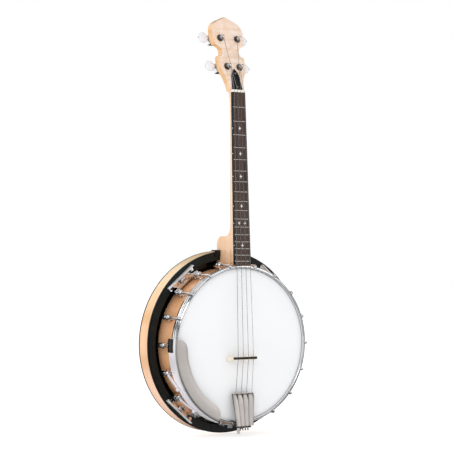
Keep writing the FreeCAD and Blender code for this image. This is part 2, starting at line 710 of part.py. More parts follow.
# ---- flange brackets and thumbscrews ------------------------------------------
def flange_brackets():
    """Pan-shaped plates: a floor on the resonator's ring and two ears on the hooks."""
    reach = 25.7
    floor = prism([(-33.5, 162.3), (33.5, 162.3), (31.0, 152.9), (20.4, 152.9), (20.4, 143.4),
                   (-20.4, 143.4), (-20.4, 152.9), (-31.0, 152.9)], 47.8, 49.6)
    lip = box(-33.5, 33.5, 41.8, 49.6, 160.9, 162.3)
    ears = []
    for side in (-1, 1):
        wall = box(min(side * 18.8, side * 20.4), max(side * 18.8, side * 20.4), 37.4, 49.6, 143.4, 152.9)
        ear = box(min(side * 18.8, side * 31.4), max(side * 18.8, side * 31.4), 37.4, 39.2, 141.4, 152.4)
        ears += [wall, ear]
    pan = fuse_all([floor, lip] + ears)
    drop = HOOK_CIRCLE_R * math.cos(math.radians(10.0))
    holes = [disc(HOOK_ROD_R + 0.1, 30, 60, side * reach, drop) for side in (-1, 1)]
    holes += [disc(3.0, 30, 60, 0, SCREW_R)]
    pan = cut_all(pan, holes)
    return group([at_angle(pan, a) for a in BRACKET_ANGLES])


def thumbscrew(angle):
    shank = disc(2.4, 46.0, 62.5, 0, SCREW_R)
    head = disc(6.4, 40.6, 46.6, 0, SCREW_R)
    head = head.makeFillet(1.4, [e for e in head.Edges if abs(e.CenterOfMass.y - 40.6) < 0.01])
    collar = disc(4.4, 46.4, 47.4, 0, SCREW_R)
    return at_angle(fuse_all([head, collar, shank]), angle)


# ---- resonator ----------------------------------------------------------------
def res_notch(front=40.0):
    return box(-NOTCH_HALF, NOTCH_HALF, front, NOTCH_BACK, 100, 200)


def raised(shape):
    return moved(shape, z=RES_RISE)


def resonator_front_ring():
    back = RES_FRONT + RING_THICK
    ring = turned([(RING_INNER_R, RES_FRONT + 0.6), (RING_INNER_R + 0.6, RES_FRONT),
                   (RING_OUTER_R, RES_FRONT), (RING_OUTER_R, back), (RING_INNER_R, back)])
    tools = [at_angle(disc(3.6, 40, 60, 0, SCREW_R), a) for a in BRACKET_ANGLES]
    return cut_all(raised(ring), tools + [res_notch()])


def resonator_side():
    seat = RES_FRONT + RING_THICK + 0.05
    wall = turned([(RES_INNER_R, seat), (RING_OUTER_R + 0.05, seat), (RING_OUTER_R + 0.05, 53.6),
                   (RES_OUTER_R, 53.6), (RES_OUTER_R, 79.3), (166.6, 79.3), (166.6, 79.9),
                   (RES_INNER_R, 79.9)])
    return cut_all(raised(wall), lug_screw_holes() + [res_notch()])


def resonator_back():
    board = turned([(0, 80.0), (166.4, 80.0), (166.4, 83.2), (160.0, 84.7), (150.0, 85.6),
                    (138.0, RES_BACK), (0, RES_BACK)])
    return raised(board)


def resonator_bindings():
    front = turned([(RING_OUTER_R + 0.05, RES_FRONT), (RES_OUTER_R - 0.6, RES_FRONT),
                    (RES_OUTER_R + 0.1, RES_FRONT + 0.8), (RES_OUTER_R + 0.1, 53.5),
                    (RING_OUTER_R + 0.05, 53.5)])
    back = turned([(166.7, 79.4), (RES_OUTER_R + 0.2, 79.4), (RES_OUTER_R + 0.2, 82.2),
                   (168.4, 83.4), (166.7, 83.4)])
    return group([raised(front).cut(res_notch()), raised(back)])


def resonator_notch_trim():
    """Square black end blocks either side of the heel."""
    trims = []
    for side in (-1, 1):
        plate = box(min(side * 15.0, side * 27.2), max(side * 15.0, side * 27.2),
                    RES_FRONT - 1.6, RES_FRONT - 0.05, 160.5, 173.4)
        lip = box(min(side * 15.0, side * 27.2), max(side * 15.0, side * 27.2),
                  RES_FRONT - 0.3, 61.0, 171.3, 173.4)
        trims.append(plate.fuse(lip).removeSplitter())
    return group(trims)


LUG_SCREW_YS = [66.0, 72.5]


def lug_screw_holes():
    return [radial_rod(a, 150, 168.2, 1.55, y) for a in BRACKET_ANGLES for y in LUG_SCREW_YS]


def resonator_lugs():
    lugs = []
    for angle in BRACKET_ANGLES:
        wall = RES_INNER_R - 0.25 + RES_RISE * math.cos(math.radians(angle))
        foot = box(-7.0, 7.0, 57.0, 76.0, 159.9, wall)
        arm = box(-7.0, 7.0, 57.0, 61.4, 148.8, wall)
        bores = [rod(V(0, y, 150), V(0, y, 170), 1.55) for y in LUG_SCREW_YS]
        bores.append(disc(2.45, 50, 70, 0, SCREW_R))
        lugs.append(at_angle(cut_all(foot.fuse(arm).removeSplitter(), bores), angle))
    return group(lugs)


def lug_screws():
    screws = []
    for angle in BRACKET_ANGLES:
        for y in LUG_SCREW_YS:
            shank = radial_rod(angle, 159.0, 168.0, 1.5, y)
            head = radial_rod(angle, 157.8, 159.85, 2.9, y)
            screws.append(shank.fuse(head).removeSplitter())
    return group(screws)


# ---- tuners ---------------------------------------------------------------------
SHAFT_DEPTH = PEG_BACK + 4.8


def tuner_side(index):
    return -1 if POSTS[index][0] < 0 else 1


def tuner_box(index, x0, x1, y0, y1, s0, s1):
    """A box placed from a post's axis, with x counted outwards."""
    x, s = POSTS[index]
    ends = sorted([x + tuner_side(index) * x0, x + tuner_side(index) * x1])
    return box(ends[0], ends[1], y0, y1, s + s0, s + s1)


def tuner_bar(index, x0, x1, radius):
    """A round bar on the worm's axis, with x counted outwards from the post."""
    x, s = POSTS[index]
    side = tuner_side(index)
    s += WORM_OFFSET
    return rod(V(x + side * x0, SHAFT_DEPTH, s), V(x + side * x1, SHAFT_DEPTH, s), radius)


def tuner_housings():
    housings = []
    for index, (x, s) in enumerate(POSTS):
        shell = tuner_box(index, -8.6, 13.0, PEG_BACK + 0.1, PEG_BACK + 11.2, -5.6, 12.0)
        hollow = tuner_box(index, -7.2, 11.4, PEG_BACK - 1.0, PEG_BACK + 9.8, -4.3, 10.6)
        tab = disc(3.4, PEG_BACK + 0.1, PEG_BACK + 1.6, x, s - 9.0)
        tab = tab.fuse(box(x - 3.4, x + 3.4, PEG_BACK + 0.1, PEG_BACK + 1.6, s - 9.0, s - 5.2))
        shell = shell.fuse(tab).removeSplitter()
        tools = [hollow, tuner_bar(index, 10, 15, 1.95), disc(1.15, 15, 25, x, s - 9.0)]
        housings.append(on_peghead(cut_all(shell, tools)))
    return group(housings)


def tuner_bushings():
    bushings = []
    for x, s in POSTS:
        sleeve = disc(4.6, PEG_FACE - 1.0, PEG_BACK - 0.1, x, s)
        washer = disc(6.6, PEG_FACE - 1.3, PEG_FACE - 0.05, x, s)
        cap = hexagon(9.6, PEG_FACE - 3.2, PEG_FACE - 1.25, x, s)
        bore = disc(POST_R + 0.06, 0, 30, x, s)
        bushings.append(on_peghead(fuse_all([sleeve, washer, cap]).cut(bore)))
    return group(bushings)


def string_post(index):
    x, s = POSTS[index]
    post = disc(POST_R, PEG_FACE - 11.0, PEG_BACK + 7.4, x, s)
    wheel = disc(4.0, PEG_BACK + 3.0, PEG_BACK + 6.6, x, s)
    eyelet = rod(V(x - 5, PEG_FACE - 8.4, s), V(x + 5, PEG_FACE - 8.4, s), 0.8)
    return on_peghead(post.fuse(wheel).removeSplitter().cut(eyelet))


def worm_shaft(index):
    worm = tuner_bar(index, -5.0, 5.0, 2.5)
    shaft = tuner_bar(index, -6.6, 22.4, 1.9)
    collar = tuner_bar(index, 13.3, 14.9, 3.5)
    screw = tuner_bar(index, 21.4, 35.4, 1.2)
    head = tuner_bar(index, 35.1, 35.8, 1.9)
    return on_peghead(fuse_all([worm, shaft, collar, screw, head]))


BUTTON_PROFILE = [(0, 3.9), (5.0, 3.7), (8.2, 2.9), (9.8, 1.4), (10.2, 0)]


def tuner_button(index):
    """A round, flattened knob bored for its shaft and for the screw in its end."""
    x, s = POSTS[index]
    mirrored = [(r, -y) for r, y in reversed(BUTTON_PROFILE[:-1])]
    knob = turned(BUTTON_PROFILE + mirrored)
    knob = moved(knob, x + tuner_side(index) * 24.8, SHAFT_DEPTH, s + WORM_OFFSET)
    tools = [tuner_bar(index, 10, 22.45, 1.95), tuner_bar(index, 20.5, 40, 1.25)]
    return on_peghead(cut_all(knob, tools))


# ---- all the pieces ---------------------------------------------------------------
SINGLE_PIECES = [neck, peghead_veneer, fingerboard, fingerboard_binding, frets, pearl_inlays, nut,
                 truss_rod, truss_rod_cover, peghead_screws, neck_hanger_bolts, rim, tone_ring,
                 head_skin, head_collar, flesh_hoop, tension_hoop, bracket_hooks, bracket_shoes, shoe_bolts,
                 bracket_nuts, coordinator_rods, coordinator_nuts, bridge_base, bridge_cap,
                 tailpiece_frame, tailpiece_fingers, tailpiece_hinge_pin, tailpiece_hanger,
                 tailpiece_adjuster, armrest, armrest_clamps, armrest_pad, flange_brackets, strings,
                 resonator_back, resonator_side, resonator_front_ring, resonator_bindings,
                 resonator_notch_trim, resonator_lugs, lug_screws, tuner_housings, tuner_bushings]


def all_pieces():
    pieces = {build.__name__: build() for build in SINGLE_PIECES}
    for index, angle in enumerate(BRACKET_ANGLES):
        pieces["thumbscrew_%d" % (index + 1)] = thumbscrew(angle)
    for index in range(4):
        pieces["tuner_button_%d" % (index + 1)] = tuner_button(index)
        pieces["worm_shaft_%d" % (index + 1)] = worm_shaft(index)
        pieces["string_post_%d" % (index + 1)] = string_post(index)
    return pieces


os.makedirs("parts", exist_ok=True)
for name, shape in all_pieces().items():
    shape.translate(HANGER_POINT * -1)
    shape.exportStep("parts/%s.step" % name)
    print(name, len(shape.Solids), shape.isValid(), round(shape.Volume, 1))
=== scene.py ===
import json
import math

import bmesh
import bpy
import numpy as np
from mathutils import Matrix, Vector


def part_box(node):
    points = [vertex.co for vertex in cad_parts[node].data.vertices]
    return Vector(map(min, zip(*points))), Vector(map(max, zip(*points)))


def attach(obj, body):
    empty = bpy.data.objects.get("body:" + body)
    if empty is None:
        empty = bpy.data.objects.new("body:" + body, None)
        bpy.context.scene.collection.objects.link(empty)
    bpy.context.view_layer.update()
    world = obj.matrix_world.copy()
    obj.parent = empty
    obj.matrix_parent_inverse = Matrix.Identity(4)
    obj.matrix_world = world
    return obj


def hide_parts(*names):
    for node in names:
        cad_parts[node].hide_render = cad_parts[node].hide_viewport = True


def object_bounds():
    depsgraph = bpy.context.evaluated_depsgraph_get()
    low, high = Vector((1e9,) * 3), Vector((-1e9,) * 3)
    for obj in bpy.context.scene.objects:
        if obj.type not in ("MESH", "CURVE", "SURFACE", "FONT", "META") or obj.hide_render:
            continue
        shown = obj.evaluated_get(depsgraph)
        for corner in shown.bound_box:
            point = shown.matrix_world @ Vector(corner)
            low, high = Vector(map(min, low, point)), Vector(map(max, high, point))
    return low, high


bl_info = {
    "name": "Resonator Banjo",
    "version": (1, 0, 0),
    "blender": (4, 5, 0),
    "location": "View3D > Sidebar > Banjo",
    "description": "Builds the visible pieces and finishes of a four-string resonator banjo",
    "category": "Add Mesh",
}

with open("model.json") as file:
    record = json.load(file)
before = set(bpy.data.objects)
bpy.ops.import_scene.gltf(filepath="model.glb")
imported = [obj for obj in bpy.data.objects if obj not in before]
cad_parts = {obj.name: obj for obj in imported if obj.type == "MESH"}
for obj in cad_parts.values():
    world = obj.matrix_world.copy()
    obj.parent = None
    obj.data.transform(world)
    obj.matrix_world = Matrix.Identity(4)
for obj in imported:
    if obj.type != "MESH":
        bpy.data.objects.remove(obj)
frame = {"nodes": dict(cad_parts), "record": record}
NODES = frame["nodes"]
SLOTS = {entry["node"]: entry["material_slot"] for entry in frame["record"]["subparts"]}
CAD_LOW, CAD_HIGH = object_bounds()

MM = 0.001
TAU = 2.0 * math.pi
HEAD_LOW, HEAD_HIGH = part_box("head_skin")
# Centre of the head's playing face. Pot shapes are worked out about it in millimetres, Y to the back.
POT = np.array([(HEAD_LOW[0] + HEAD_HIGH[0]) / 2, HEAD_LOW[1], (HEAD_LOW[2] + HEAD_HIGH[2]) / 2])
RESONATOR_MIDDLE = (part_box("resonator_back")[0][2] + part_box("resonator_back")[1][2]) / 2
BACK_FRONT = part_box("resonator_back")[0][1]
HOOK_CIRCLE = 148.0
HOOK_HALF = [11.0, 30.0, 50.0, 70.0, 90.0, 110.0, 130.0, 150.0, 172.5]
HOOK_ANGLES = np.array([side * angle for angle in HOOK_HALF for side in (-1, 1)])
# Hooks whose nuts sit on the ears of a flange bracket.
EAR_ANGLES = (30.0, 50.0, 130.0, 150.0)
BRACKET_ANGLES = np.array([40.0, 140.0, -140.0, -40.0])
THUMBSCREW_CIRCLE = 154.0
SCALE_LENGTH = 501.65
FRET_COUNT = 17
# Across and up the peghead from the nut.
TUNER_POSTS = np.array([[-19.0, 107.0], [19.0, 107.0], [-14.0, 50.2], [14.0, 50.2]])
POST_OF_STRING = [2, 0, 1, 3]
STRING_RADII = [0.46, 0.42, 0.38, 0.34]
BRIDGE_SPACING, TAIL_SPACING, NUT_SPACING = 11.4, 11.8, 7.2
# Places of the four strings either side of the middle, in string spacings.
STRING_STEPS = np.arange(4) - 1.5


# ---- mesh helpers -----------------------------------------------------------
def round_angles(count):
    """Equal steps of angle round a full circle."""
    return np.linspace(0, TAU, count, endpoint=False)


def linked(name, data):
    """An object for a mesh, camera or light, linked into the scene."""
    item = bpy.data.objects.new(name, data)
    bpy.context.scene.collection.objects.link(item)
    return item


def grid_quads(rows, columns, loop_rows):
    """Quads of a grid of points whose rows are closed rings; the last row may join the first."""
    i = np.arange(rows if loop_rows else rows - 1)[:, None]
    j = np.arange(columns)[None, :]
    below = (i + 1) % rows
    right = (j + 1) % columns
    corners = [i * columns + j, i * columns + right, below * columns + right, below * columns + j]
    return np.stack([np.broadcast_to(c, (i.size, j.size)) for c in corners], -1).reshape(-1, 4)


def shell(points, loop_rows=False):
    """A part from rows of points that are rings; rows that don't loop are closed flat at each end."""
    rows, columns = points.shape[:2]
    faces = [grid_quads(rows, columns, loop_rows)]
    if not loop_rows:
        ends = np.arange(columns)
        faces.append(np.stack([ends[::-1], (rows - 1) * columns + ends]))
    return points.reshape(-1, 3), faces


def rounded(points, radius, steps=3):
    """A closed polygon with each corner replaced by a quadratic curve that starts radius away."""
    points = np.asarray(points, float)
    to_last = np.roll(points, 1, 0) - points
    to_next = np.roll(points, -1, 0) - points
    reach = np.broadcast_to(np.asarray(radius, float), (len(points),))[:, None]
    last_length = np.linalg.norm(to_last, axis=1, keepdims=True)
    next_length = np.linalg.norm(to_next, axis=1, keepdims=True)
    start = points + to_last * np.minimum(reach / last_length, 0.48)
    end = points + to_next * np.minimum(reach / next_length, 0.48)
    t = np.linspace(0, 1, steps + 1)[None, :, None]
    curve = (1 - t) ** 2 * start[:, None] + 2 * t * (1 - t) * points[:, None] + t ** 2 * end[:, None]
    return curve.reshape(-1, points.shape[1])


def lathe(profile, segments, corner):
    """A closed (radius, depth) polygon, its corners rounded, turned a full circle about +Y."""
    loop = rounded(profile, corner)
    angle = round_angles(segments)[:, None]
    r, y = loop[:, 0][None, :], loop[:, 1][None, :]
    points = np.stack([r * np.sin(angle), y + 0 * angle, r * np.cos(angle)], -1)
    return shell(points, loop_rows=True)


def spun(profile, segments, axis, origin):
    """An open (radius, distance) profile turned about an axis; its ends are closed flat."""
    profile = np.asarray(profile, float)
    angle = round_angles(segments)[None, :]
    r, d = profile[:, 0][:, None], profile[:, 1][:, None]
    along, across, up = axis_frame(axis)
    ring = across * (r * np.cos(angle))[..., None] + up * (r * np.sin(angle))[..., None]
    points = np.asarray(origin, float) + ring + along * (d + 0 * angle)[..., None]
    return shell(points)


def axis_frame(axis):
    """Unit vector along an axis and two unit vectors square to it."""
    along = np.asarray(axis, float)
    along = along / np.linalg.norm(along)
    helper = np.array([0.0, 0.0, 1.0]) if abs(along[2]) < 0.9 else np.array([1.0, 0.0, 0.0])
    across = np.cross(helper, along)
    across /= np.linalg.norm(across)
    return along, across, np.cross(along, across)


def swept(path, section, up=(0, 0, 1), scale=None):
    """A (a, b) section carried along a path: b points as near to up as the path allows.

    scale is how much wider and higher the section is at each point of the path."""
    path = np.asarray(path, float)
    section = np.asarray(section, float)
    tangent = np.gradient(path, axis=0)
    tangent /= np.linalg.norm(tangent, axis=1, keepdims=True)
    side = np.cross(np.broadcast_to(np.asarray(up, float), path.shape), tangent)
    side /= np.linalg.norm(side, axis=1, keepdims=True)
    rise = np.cross(tangent, side)
    size = np.ones((len(path), 2)) if scale is None else np.asarray(scale, float)
    across = side[:, None] * section[None, :, 0:1] * size[:, 0][:, None, None]
    points = path[:, None] + across + rise[:, None] * section[None, :, 1:2] * size[:, 1][:, None, None]
    return shell(points)


def circle(radius, sides):
    """Points at equal angles: (radius times cosine, radius times sine)."""
    angle = round_angles(sides)
    return np.stack([radius * np.cos(angle), radius * np.sin(angle)], -1)


def plate(outline, layers):
    """An outline carried through (inset, depth) layers: each is the outline pulled in by inset."""
    outline = np.asarray(outline, float)
    before = outline - np.roll(outline, 1, 0)
    after = np.roll(outline, -1, 0) - outline
    tangent = before / np.linalg.norm(before, axis=1, keepdims=True)
    tangent = tangent + after / np.linalg.norm(after, axis=1, keepdims=True)
    tangent /= np.maximum(np.linalg.norm(tangent, axis=1, keepdims=True), 1e-6)
    area = np.sum(outline[:, 0] * np.roll(outline[:, 1], -1) - outline[:, 1] * np.roll(outline[:, 0], -1))
    inward = np.stack([-tangent[:, 1], tangent[:, 0]], -1) * math.copysign(1.0, area)
    layers = np.asarray(layers, float)
    flat = outline[None] + inward[None] * layers[:, 0][:, None, None]
    depth = np.broadcast_to(layers[:, 1][:, None], flat.shape[:2])
    return shell(np.stack([flat[..., 0], depth, flat[..., 1]], -1))


def edge_layers(front, back, bevel):
    """Layers of a plate whose two rims are quarter circles of a radius: sine and cosine of a turn."""
    turn = np.radians([0, 30, 60, 90])
    inset = bevel * (1 - np.sin(turn))
    drop = bevel * (1 - np.cos(turn))
    first = np.stack([inset, front + drop], -1)
    last = np.stack([inset[::-1], back - drop[::-1]], -1)
    return np.concatenate([first, last])


def turned_to(part, angles):
    """Copies of a part made at the top of the pot, one at each angle round it."""
    points, faces = part
    a = np.radians(np.atleast_1d(angles))[:, None]
    x, y, z = points[:, 0][None], points[:, 1][None], points[:, 2][None]
    copies = np.stack([x * np.cos(a) + z * np.sin(a), y + 0 * a, z * np.cos(a) - x * np.sin(a)], -1)
    shift = np.arange(len(a))[:, None, None] * len(points)
    return copies.reshape(-1, 3), [(f[None] + shift).reshape(-1, f.shape[1]) for f in faces]


def placed(part, matrix, offset):
    """A part turned by a 3 by 3 matrix, whose columns are its new axes, and then moved."""
    return part[0] @ np.asarray(matrix, float).T + np.asarray(offset, float), part[1]


def joined(parts):
    """Several parts as one."""
    points, faces, count = [], [], 0
    for part_points, part_faces in parts:
        points.append(part_points)
        faces += [f + count for f in part_faces]
        count += len(part_points)
    return np.concatenate(points), faces


def finished_piece(name, mesh, finish, node, body):
    """An object for a mesh, with its finish, the body it rides on and the carried-over part it replaces."""
    mesh.polygons.foreach_set("use_smooth", np.ones(len(mesh.polygons), bool))
    mesh.materials.append(finish_for(finish))
    piece = linked(name, mesh)
    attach(piece, body)
    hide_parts(node)
    return piece


def add_piece(name, part, finish, node, body="banjo", sharp=38.0):
    """Puts a part, in millimetres about the pot's centre, into an object in the row frame."""
    points, faces = part
    coords = points * MM + POT
    mesh = bpy.data.meshes.new(name)
    mesh.vertices.add(len(coords))
    mesh.vertices.foreach_set("co", coords.astype(np.float32).ravel())
    loops = np.concatenate([f.ravel() for f in faces]).astype(np.int32)
    sizes = np.concatenate([np.full(len(f), f.shape[1]) for f in faces]).astype(np.int32)
    mesh.loops.add(len(loops))
    mesh.loops.foreach_set("vertex_index", loops)
    mesh.polygons.add(len(sizes))
    mesh.polygons.foreach_set("loop_start", (np.cumsum(sizes) - sizes).astype(np.int32))
    mesh.update(calc_edges=True)
    mesh.validate()
    work = bmesh.new()
    work.from_mesh(mesh)
    bmesh.ops.remove_doubles(work, verts=work.verts, dist=1e-6)
    bmesh.ops.recalc_face_normals(work, faces=work.faces)
    work.to_mesh(mesh)
    work.free()
    finished_piece(name, mesh, finish, node, body)
    mesh.set_sharp_from_angle(angle=math.radians(sharp))


def softened(node, width, finish, body="banjo"):
    """A merged copy of a carried-over part with its edges rounded, in place of that part."""
    mesh = NODES[node].data.copy()
    mesh.name = node + "_rounded"
    work = bmesh.new()
    work.from_mesh(mesh)
    bmesh.ops.remove_doubles(work, verts=work.verts, dist=2e-6)
    bmesh.ops.dissolve_limit(work, angle_limit=math.radians(0.6), verts=work.verts, edges=work.edges)
    work.to_mesh(mesh)
    work.free()
    mesh.materials.clear()
    piece = finished_piece(node + "_rounded", mesh, finish, node, body)
    bevel = piece.modifiers.new("Rounded edges", "BEVEL")
    bevel.width, bevel.segments, bevel.limit_method = width * MM, 2, "ANGLE"
    bevel.angle_limit = math.radians(35.0)
    bevel.harden_normals = True


def neck_axes(tilt):
    """Axes of a frame tilted back by so many degrees: across, into the wood, and up the neck."""
    t = math.radians(tilt)
    return np.array([[1, 0, 0], [0, math.cos(t), math.sin(t)], [0, -math.sin(t), math.cos(t)]])


NECK_AXES, NUT_AT = neck_axes(3.56), np.array([0, 15.25, 466.6])
PEG_AXES, PEG_AT = neck_axes(17.3), np.array([0, 15.5, 468.5])
TAIL_AXES, TAIL_AT = neck_axes(5.8), np.array([0, -18.0, -148.9])


def on_neck(part):
    """A part worked out from the nut, with the fingerboard's face at depth 0, put on the neck."""
    return placed(part, NECK_AXES, NUT_AT)


def on_peghead(part):
    """A part worked out from the nut, with Y into the wood, put on the peghead."""
    return placed(part, PEG_AXES, PEG_AT)


# ---- materials --------------------------------------------------------------
class Nodes:
    """A material's node tree, with short ways to add and join nodes."""

    def __init__(self, name):
        self.material = bpy.data.materials.new(name)
        self.material.use_nodes = True
        self.tree = self.material.node_tree
        self.shader = self.tree.nodes["Principled BSDF"]

    def add(self, kind, inputs=None, **settings):
        """A new node with its settings and inputs."""
        node = self.tree.nodes.new(kind)
        for key, value in settings.items():
            setattr(node, key, value)
        for key, value in (inputs or {}).items():
            self.put(node.inputs[key], value)
        return node

    def put(self, socket, value):
        """Joins a socket to another one, or gives it a plain value."""
        if isinstance(value, bpy.types.NodeSocket):
            self.tree.links.new(value, socket)
        else:
            socket.default_value = value

    def set(self, **values):
        """Inputs of the surface shader, by name."""
        for key, value in values.items():
            self.put(self.shader.inputs[key.replace("_", " ")], value)

    def axes(self):
        """X, Y and Z of the object coordinates, in metres."""
        where = self.add("ShaderNodeTexCoord").outputs["Object"]
        return self.add("ShaderNodeSeparateXYZ", {"Vector": where}).outputs

    def place(self, scale, turn=(0, 0, 0)):
        """Object coordinates, turned and stretched."""
        where = self.add("ShaderNodeTexCoord").outputs["Object"]
        mapping = self.add("ShaderNodeMapping", {"Vector": where, "Scale": scale,
                                                 "Rotation": tuple(math.radians(t) for t in turn)})
        return mapping.outputs["Vector"]

    def noise(self, vector, scale=1.0, detail=4.0, rough=0.5, warp=0.0):
        """Cloudy noise from 0 to 1."""
        inputs = {"Vector": vector, "Scale": scale, "Detail": detail, "Roughness": rough, "Distortion": warp}
        return self.add("ShaderNodeTexNoise", inputs).outputs["Fac"]

    def ramp(self, value, low, high, start=0.0, end=1.0):
        """A value moved from one range to another."""
        inputs = {"Value": value, "From Min": low, "From Max": high, "To Min": start, "To Max": end}
        return self.add("ShaderNodeMapRange", inputs).outputs["Result"]

    def mix(self, amount, first, second, blend="MIX"):
        """Two colours blended by an amount from 0 to 1."""
        node = self.add("ShaderNodeMix", data_type="RGBA", blend_type=blend)
        for key, value in ((0, amount), (6, first), (7, second)):
            self.put(node.inputs[key], value)
        return node.outputs[2]

    def math(self, operation, first, second):
        """One operation on two values."""
        node = self.add("ShaderNodeMath", operation=operation)
        self.put(node.inputs[0], first)
        self.put(node.inputs[1], second)
        return node.outputs[0]

    def bump(self, height, distance, strength=1.0):
        """Relief from a height, at most a distance in metres."""
        inputs = {"Height": height, "Distance": distance, "Strength": strength}
        self.set(Normal=self.add("ShaderNodeBump", inputs).outputs["Normal"])


def shade(colour, factor):
    """A colour made lighter or darker, and no brighter than white."""
    return tuple(min(1.0, c * factor) for c in colour[:3]) + (1.0,)


def radius_about(n, height):
    """Distance in metres from a line along Y at a height in the object's middle plane."""
    axes = n.axes()
    rise = n.math("SUBTRACT", axes["Z"], float(height))
    squares = n.math("ADD", n.math("MULTIPLY", axes["X"], axes["X"]), n.math("MULTIPLY", rise, rise))
    return n.math("SQRT", squares, 0.0)


def painted_inside(n, base, radius=None, depth=None):
    """Black paint nearer the resonator's axis than a radius, or in front of a depth, in metres."""
    if radius is None:
        inside = n.math("LESS_THAN", n.axes()["Y"], depth)
    else:
        inside = n.math("LESS_THAN", radius_about(n, RESONATOR_MIDDLE), radius)
    return n.mix(inside, base, (0.010, 0.009, 0.008, 1))


def fill_ramp(node, low, high, stops):
    """Spreads (value, colour) stops over a colour ramp that runs from a low value to a high one."""
    elements = node.color_ramp.elements
    while len(elements) < len(stops):
        elements.new(0.5)
    for element, (value, colour) in zip(elements, stops):
        element.position = (value - low) / (high - low)
        element.color = colour + (1,)


def toned(n, height_stops):
    """A tint that changes slowly up the object: (height in metres, colour) stops."""
    low, high = height_stops[0][0], height_stops[-1][0]
    ramp = n.add("ShaderNodeValToRGB", {"Fac": n.ramp(n.axes()["Z"], low, high)})
    fill_ramp(ramp, low, high, height_stops)
    return ramp.outputs["Color"]


def tinted(colour, red, green, blue):
    """A colour with each of its parts scaled by its own factor."""
    return colour[0] * red, colour[1] * green, colour[2] * blue, 1


def maple(name, colour, grain=(90, 90, 5), curl=(9, 9, 95), figure=0.35, gloss=0.22, turn=(0, 0, 0),
          inside=None, height_stops=None):
    """Varnished maple: fine grain, slow change of tone, and curl that runs across the grain."""
    n = Nodes(name)
    tone = n.noise(n.place((7, 7, 2.2), turn), 1.0, 2.0)
    streak = n.noise(n.place(grain, turn), 1.0, 6.0, 0.62, 0.3)
    pore = n.noise(n.place(tuple(3.5 * g for g in grain), turn), 1.0, 3.0, 0.7)
    wave = n.noise(n.place(curl, turn), 1.0, 1.5, 0.4, 0.6)
    base = n.mix(n.ramp(tone, 0.3, 0.7), shade(colour, 0.95), shade(colour, 1.05))
    base = n.mix(n.ramp(streak, 0.38, 0.66, 0.0, 0.55), base, tinted(colour, 0.86, 0.74, 0.62))
    base = n.mix(n.ramp(wave, 0.4, 0.6, 0.0, figure), base, tinted(colour, 0.84, 0.68, 0.5))
    base = n.mix(n.ramp(pore, 0.62, 0.8, 0.0, 0.3), base, shade(colour, 0.6))
    # Colour by height; on the resonator side this is painted light and shade.
    if height_stops:
        base = n.mix(1.0, base, toned(n, height_stops), "MULTIPLY")
    if inside:
        base = painted_inside(n, base, **inside)
    n.set(Base_Color=base, Roughness=n.ramp(streak, 0.3, 0.7, gloss, gloss + 0.12))
    n.set(Coat_Weight=0.5, Coat_Roughness=0.07, Specular_IOR_Level=0.45)
    n.bump(pore, 0.00004, 0.5)
    return n.material


def rosewood(name, colour):
    """Oiled rosewood: near-black streaks and open pores along the board."""
    n = Nodes(name)
    streak = n.noise(n.place((150, 150, 6)), 1.0, 7.0, 0.65, 0.6)
    band = n.noise(n.place((45, 45, 2.5)), 1.0, 3.0, 0.5, 0.4)
    pore = n.noise(n.place((900, 900, 45)), 1.0, 2.0, 0.6)
    base = n.mix(n.ramp(streak, 0.35, 0.68), shade(colour, 1.55), shade(colour, 0.5))
    base = n.mix(n.ramp(band, 0.4, 0.7, 0.0, 0.6), base, tinted(colour, 1.5, 0.95, 0.75))
    base = n.mix(n.ramp(pore, 0.6, 0.75, 0.0, 0.8), base, (0.006, 0.004, 0.003, 1))
    n.set(Base_Color=base, Roughness=n.ramp(streak, 0.3, 0.7, 0.36, 0.55), Specular_IOR_Level=0.4)
    n.bump(pore, 0.00006, 0.7)
    return n.material


# Width of the change from face to the wall's painted highlight in metres, and the wall's roughness.
WALL_BLEND, WALL_ROUGH = 0.001, 0.25


def walled_metal(name, colour, wall, start, rough):
    """Brushed metal near the pot's axis; past a radius in metres it turns paler and less metallic:
    a painted highlight on the armrest's wall and the brackets' outer lips.
    """
    n = Nodes(name)
    cloud = n.noise(n.place((38, 38, 38)), 1.0, 5.0, 0.6)
    brushed = n.noise(n.place((60, 900, 900), (0, 25, 0)), 1.0, 4.0, 0.7)
    # Mask of the painted highlight: past the radius the metal is paler, rougher and less metallic.
    sheen = n.ramp(radius_about(n, POT[2]), start, start + WALL_BLEND)
    base = n.mix(n.ramp(brushed, 0.35, 0.7), colour + (1,), shade(colour, 0.93))
    base = n.mix(sheen, base, wall + (1,))
    satin_rough = n.ramp(cloud, 0.3, 0.75, rough[0], rough[1])
    blurred = n.math("ADD", satin_rough, n.math("MULTIPLY", sheen, WALL_ROUGH - rough[0]))
    metallic = n.math("SUBTRACT", 1.0, n.math("MULTIPLY", sheen, 0.55))
    n.set(Base_Color=base, Metallic=metallic, Roughness=blurred)
    n.bump(brushed, 0.00002, 0.3)
    return n.material


def metal(name, colour, rough=(0.06, 0.16), scratch=0.25, lines=(260, 260, 260)):
    """Plated metal: uneven polish and fine handling marks."""
    n = Nodes(name)
    cloud = n.noise(n.place((38, 38, 38)), 1.0, 5.0, 0.6)
    hair = n.noise(n.place(lines, (12, 31, 8)), 1.0, 4.0, 0.7)
    base = n.mix(n.ramp(cloud, 0.35, 0.7), colour[:3] + (1,), shade(colour, 0.9))
    n.set(Base_Color=base, Metallic=1.0, Roughness=n.ramp(cloud, 0.3, 0.75, rough[0], rough[1]))
    n.bump(hair, 0.00003, scratch)
    return n.material


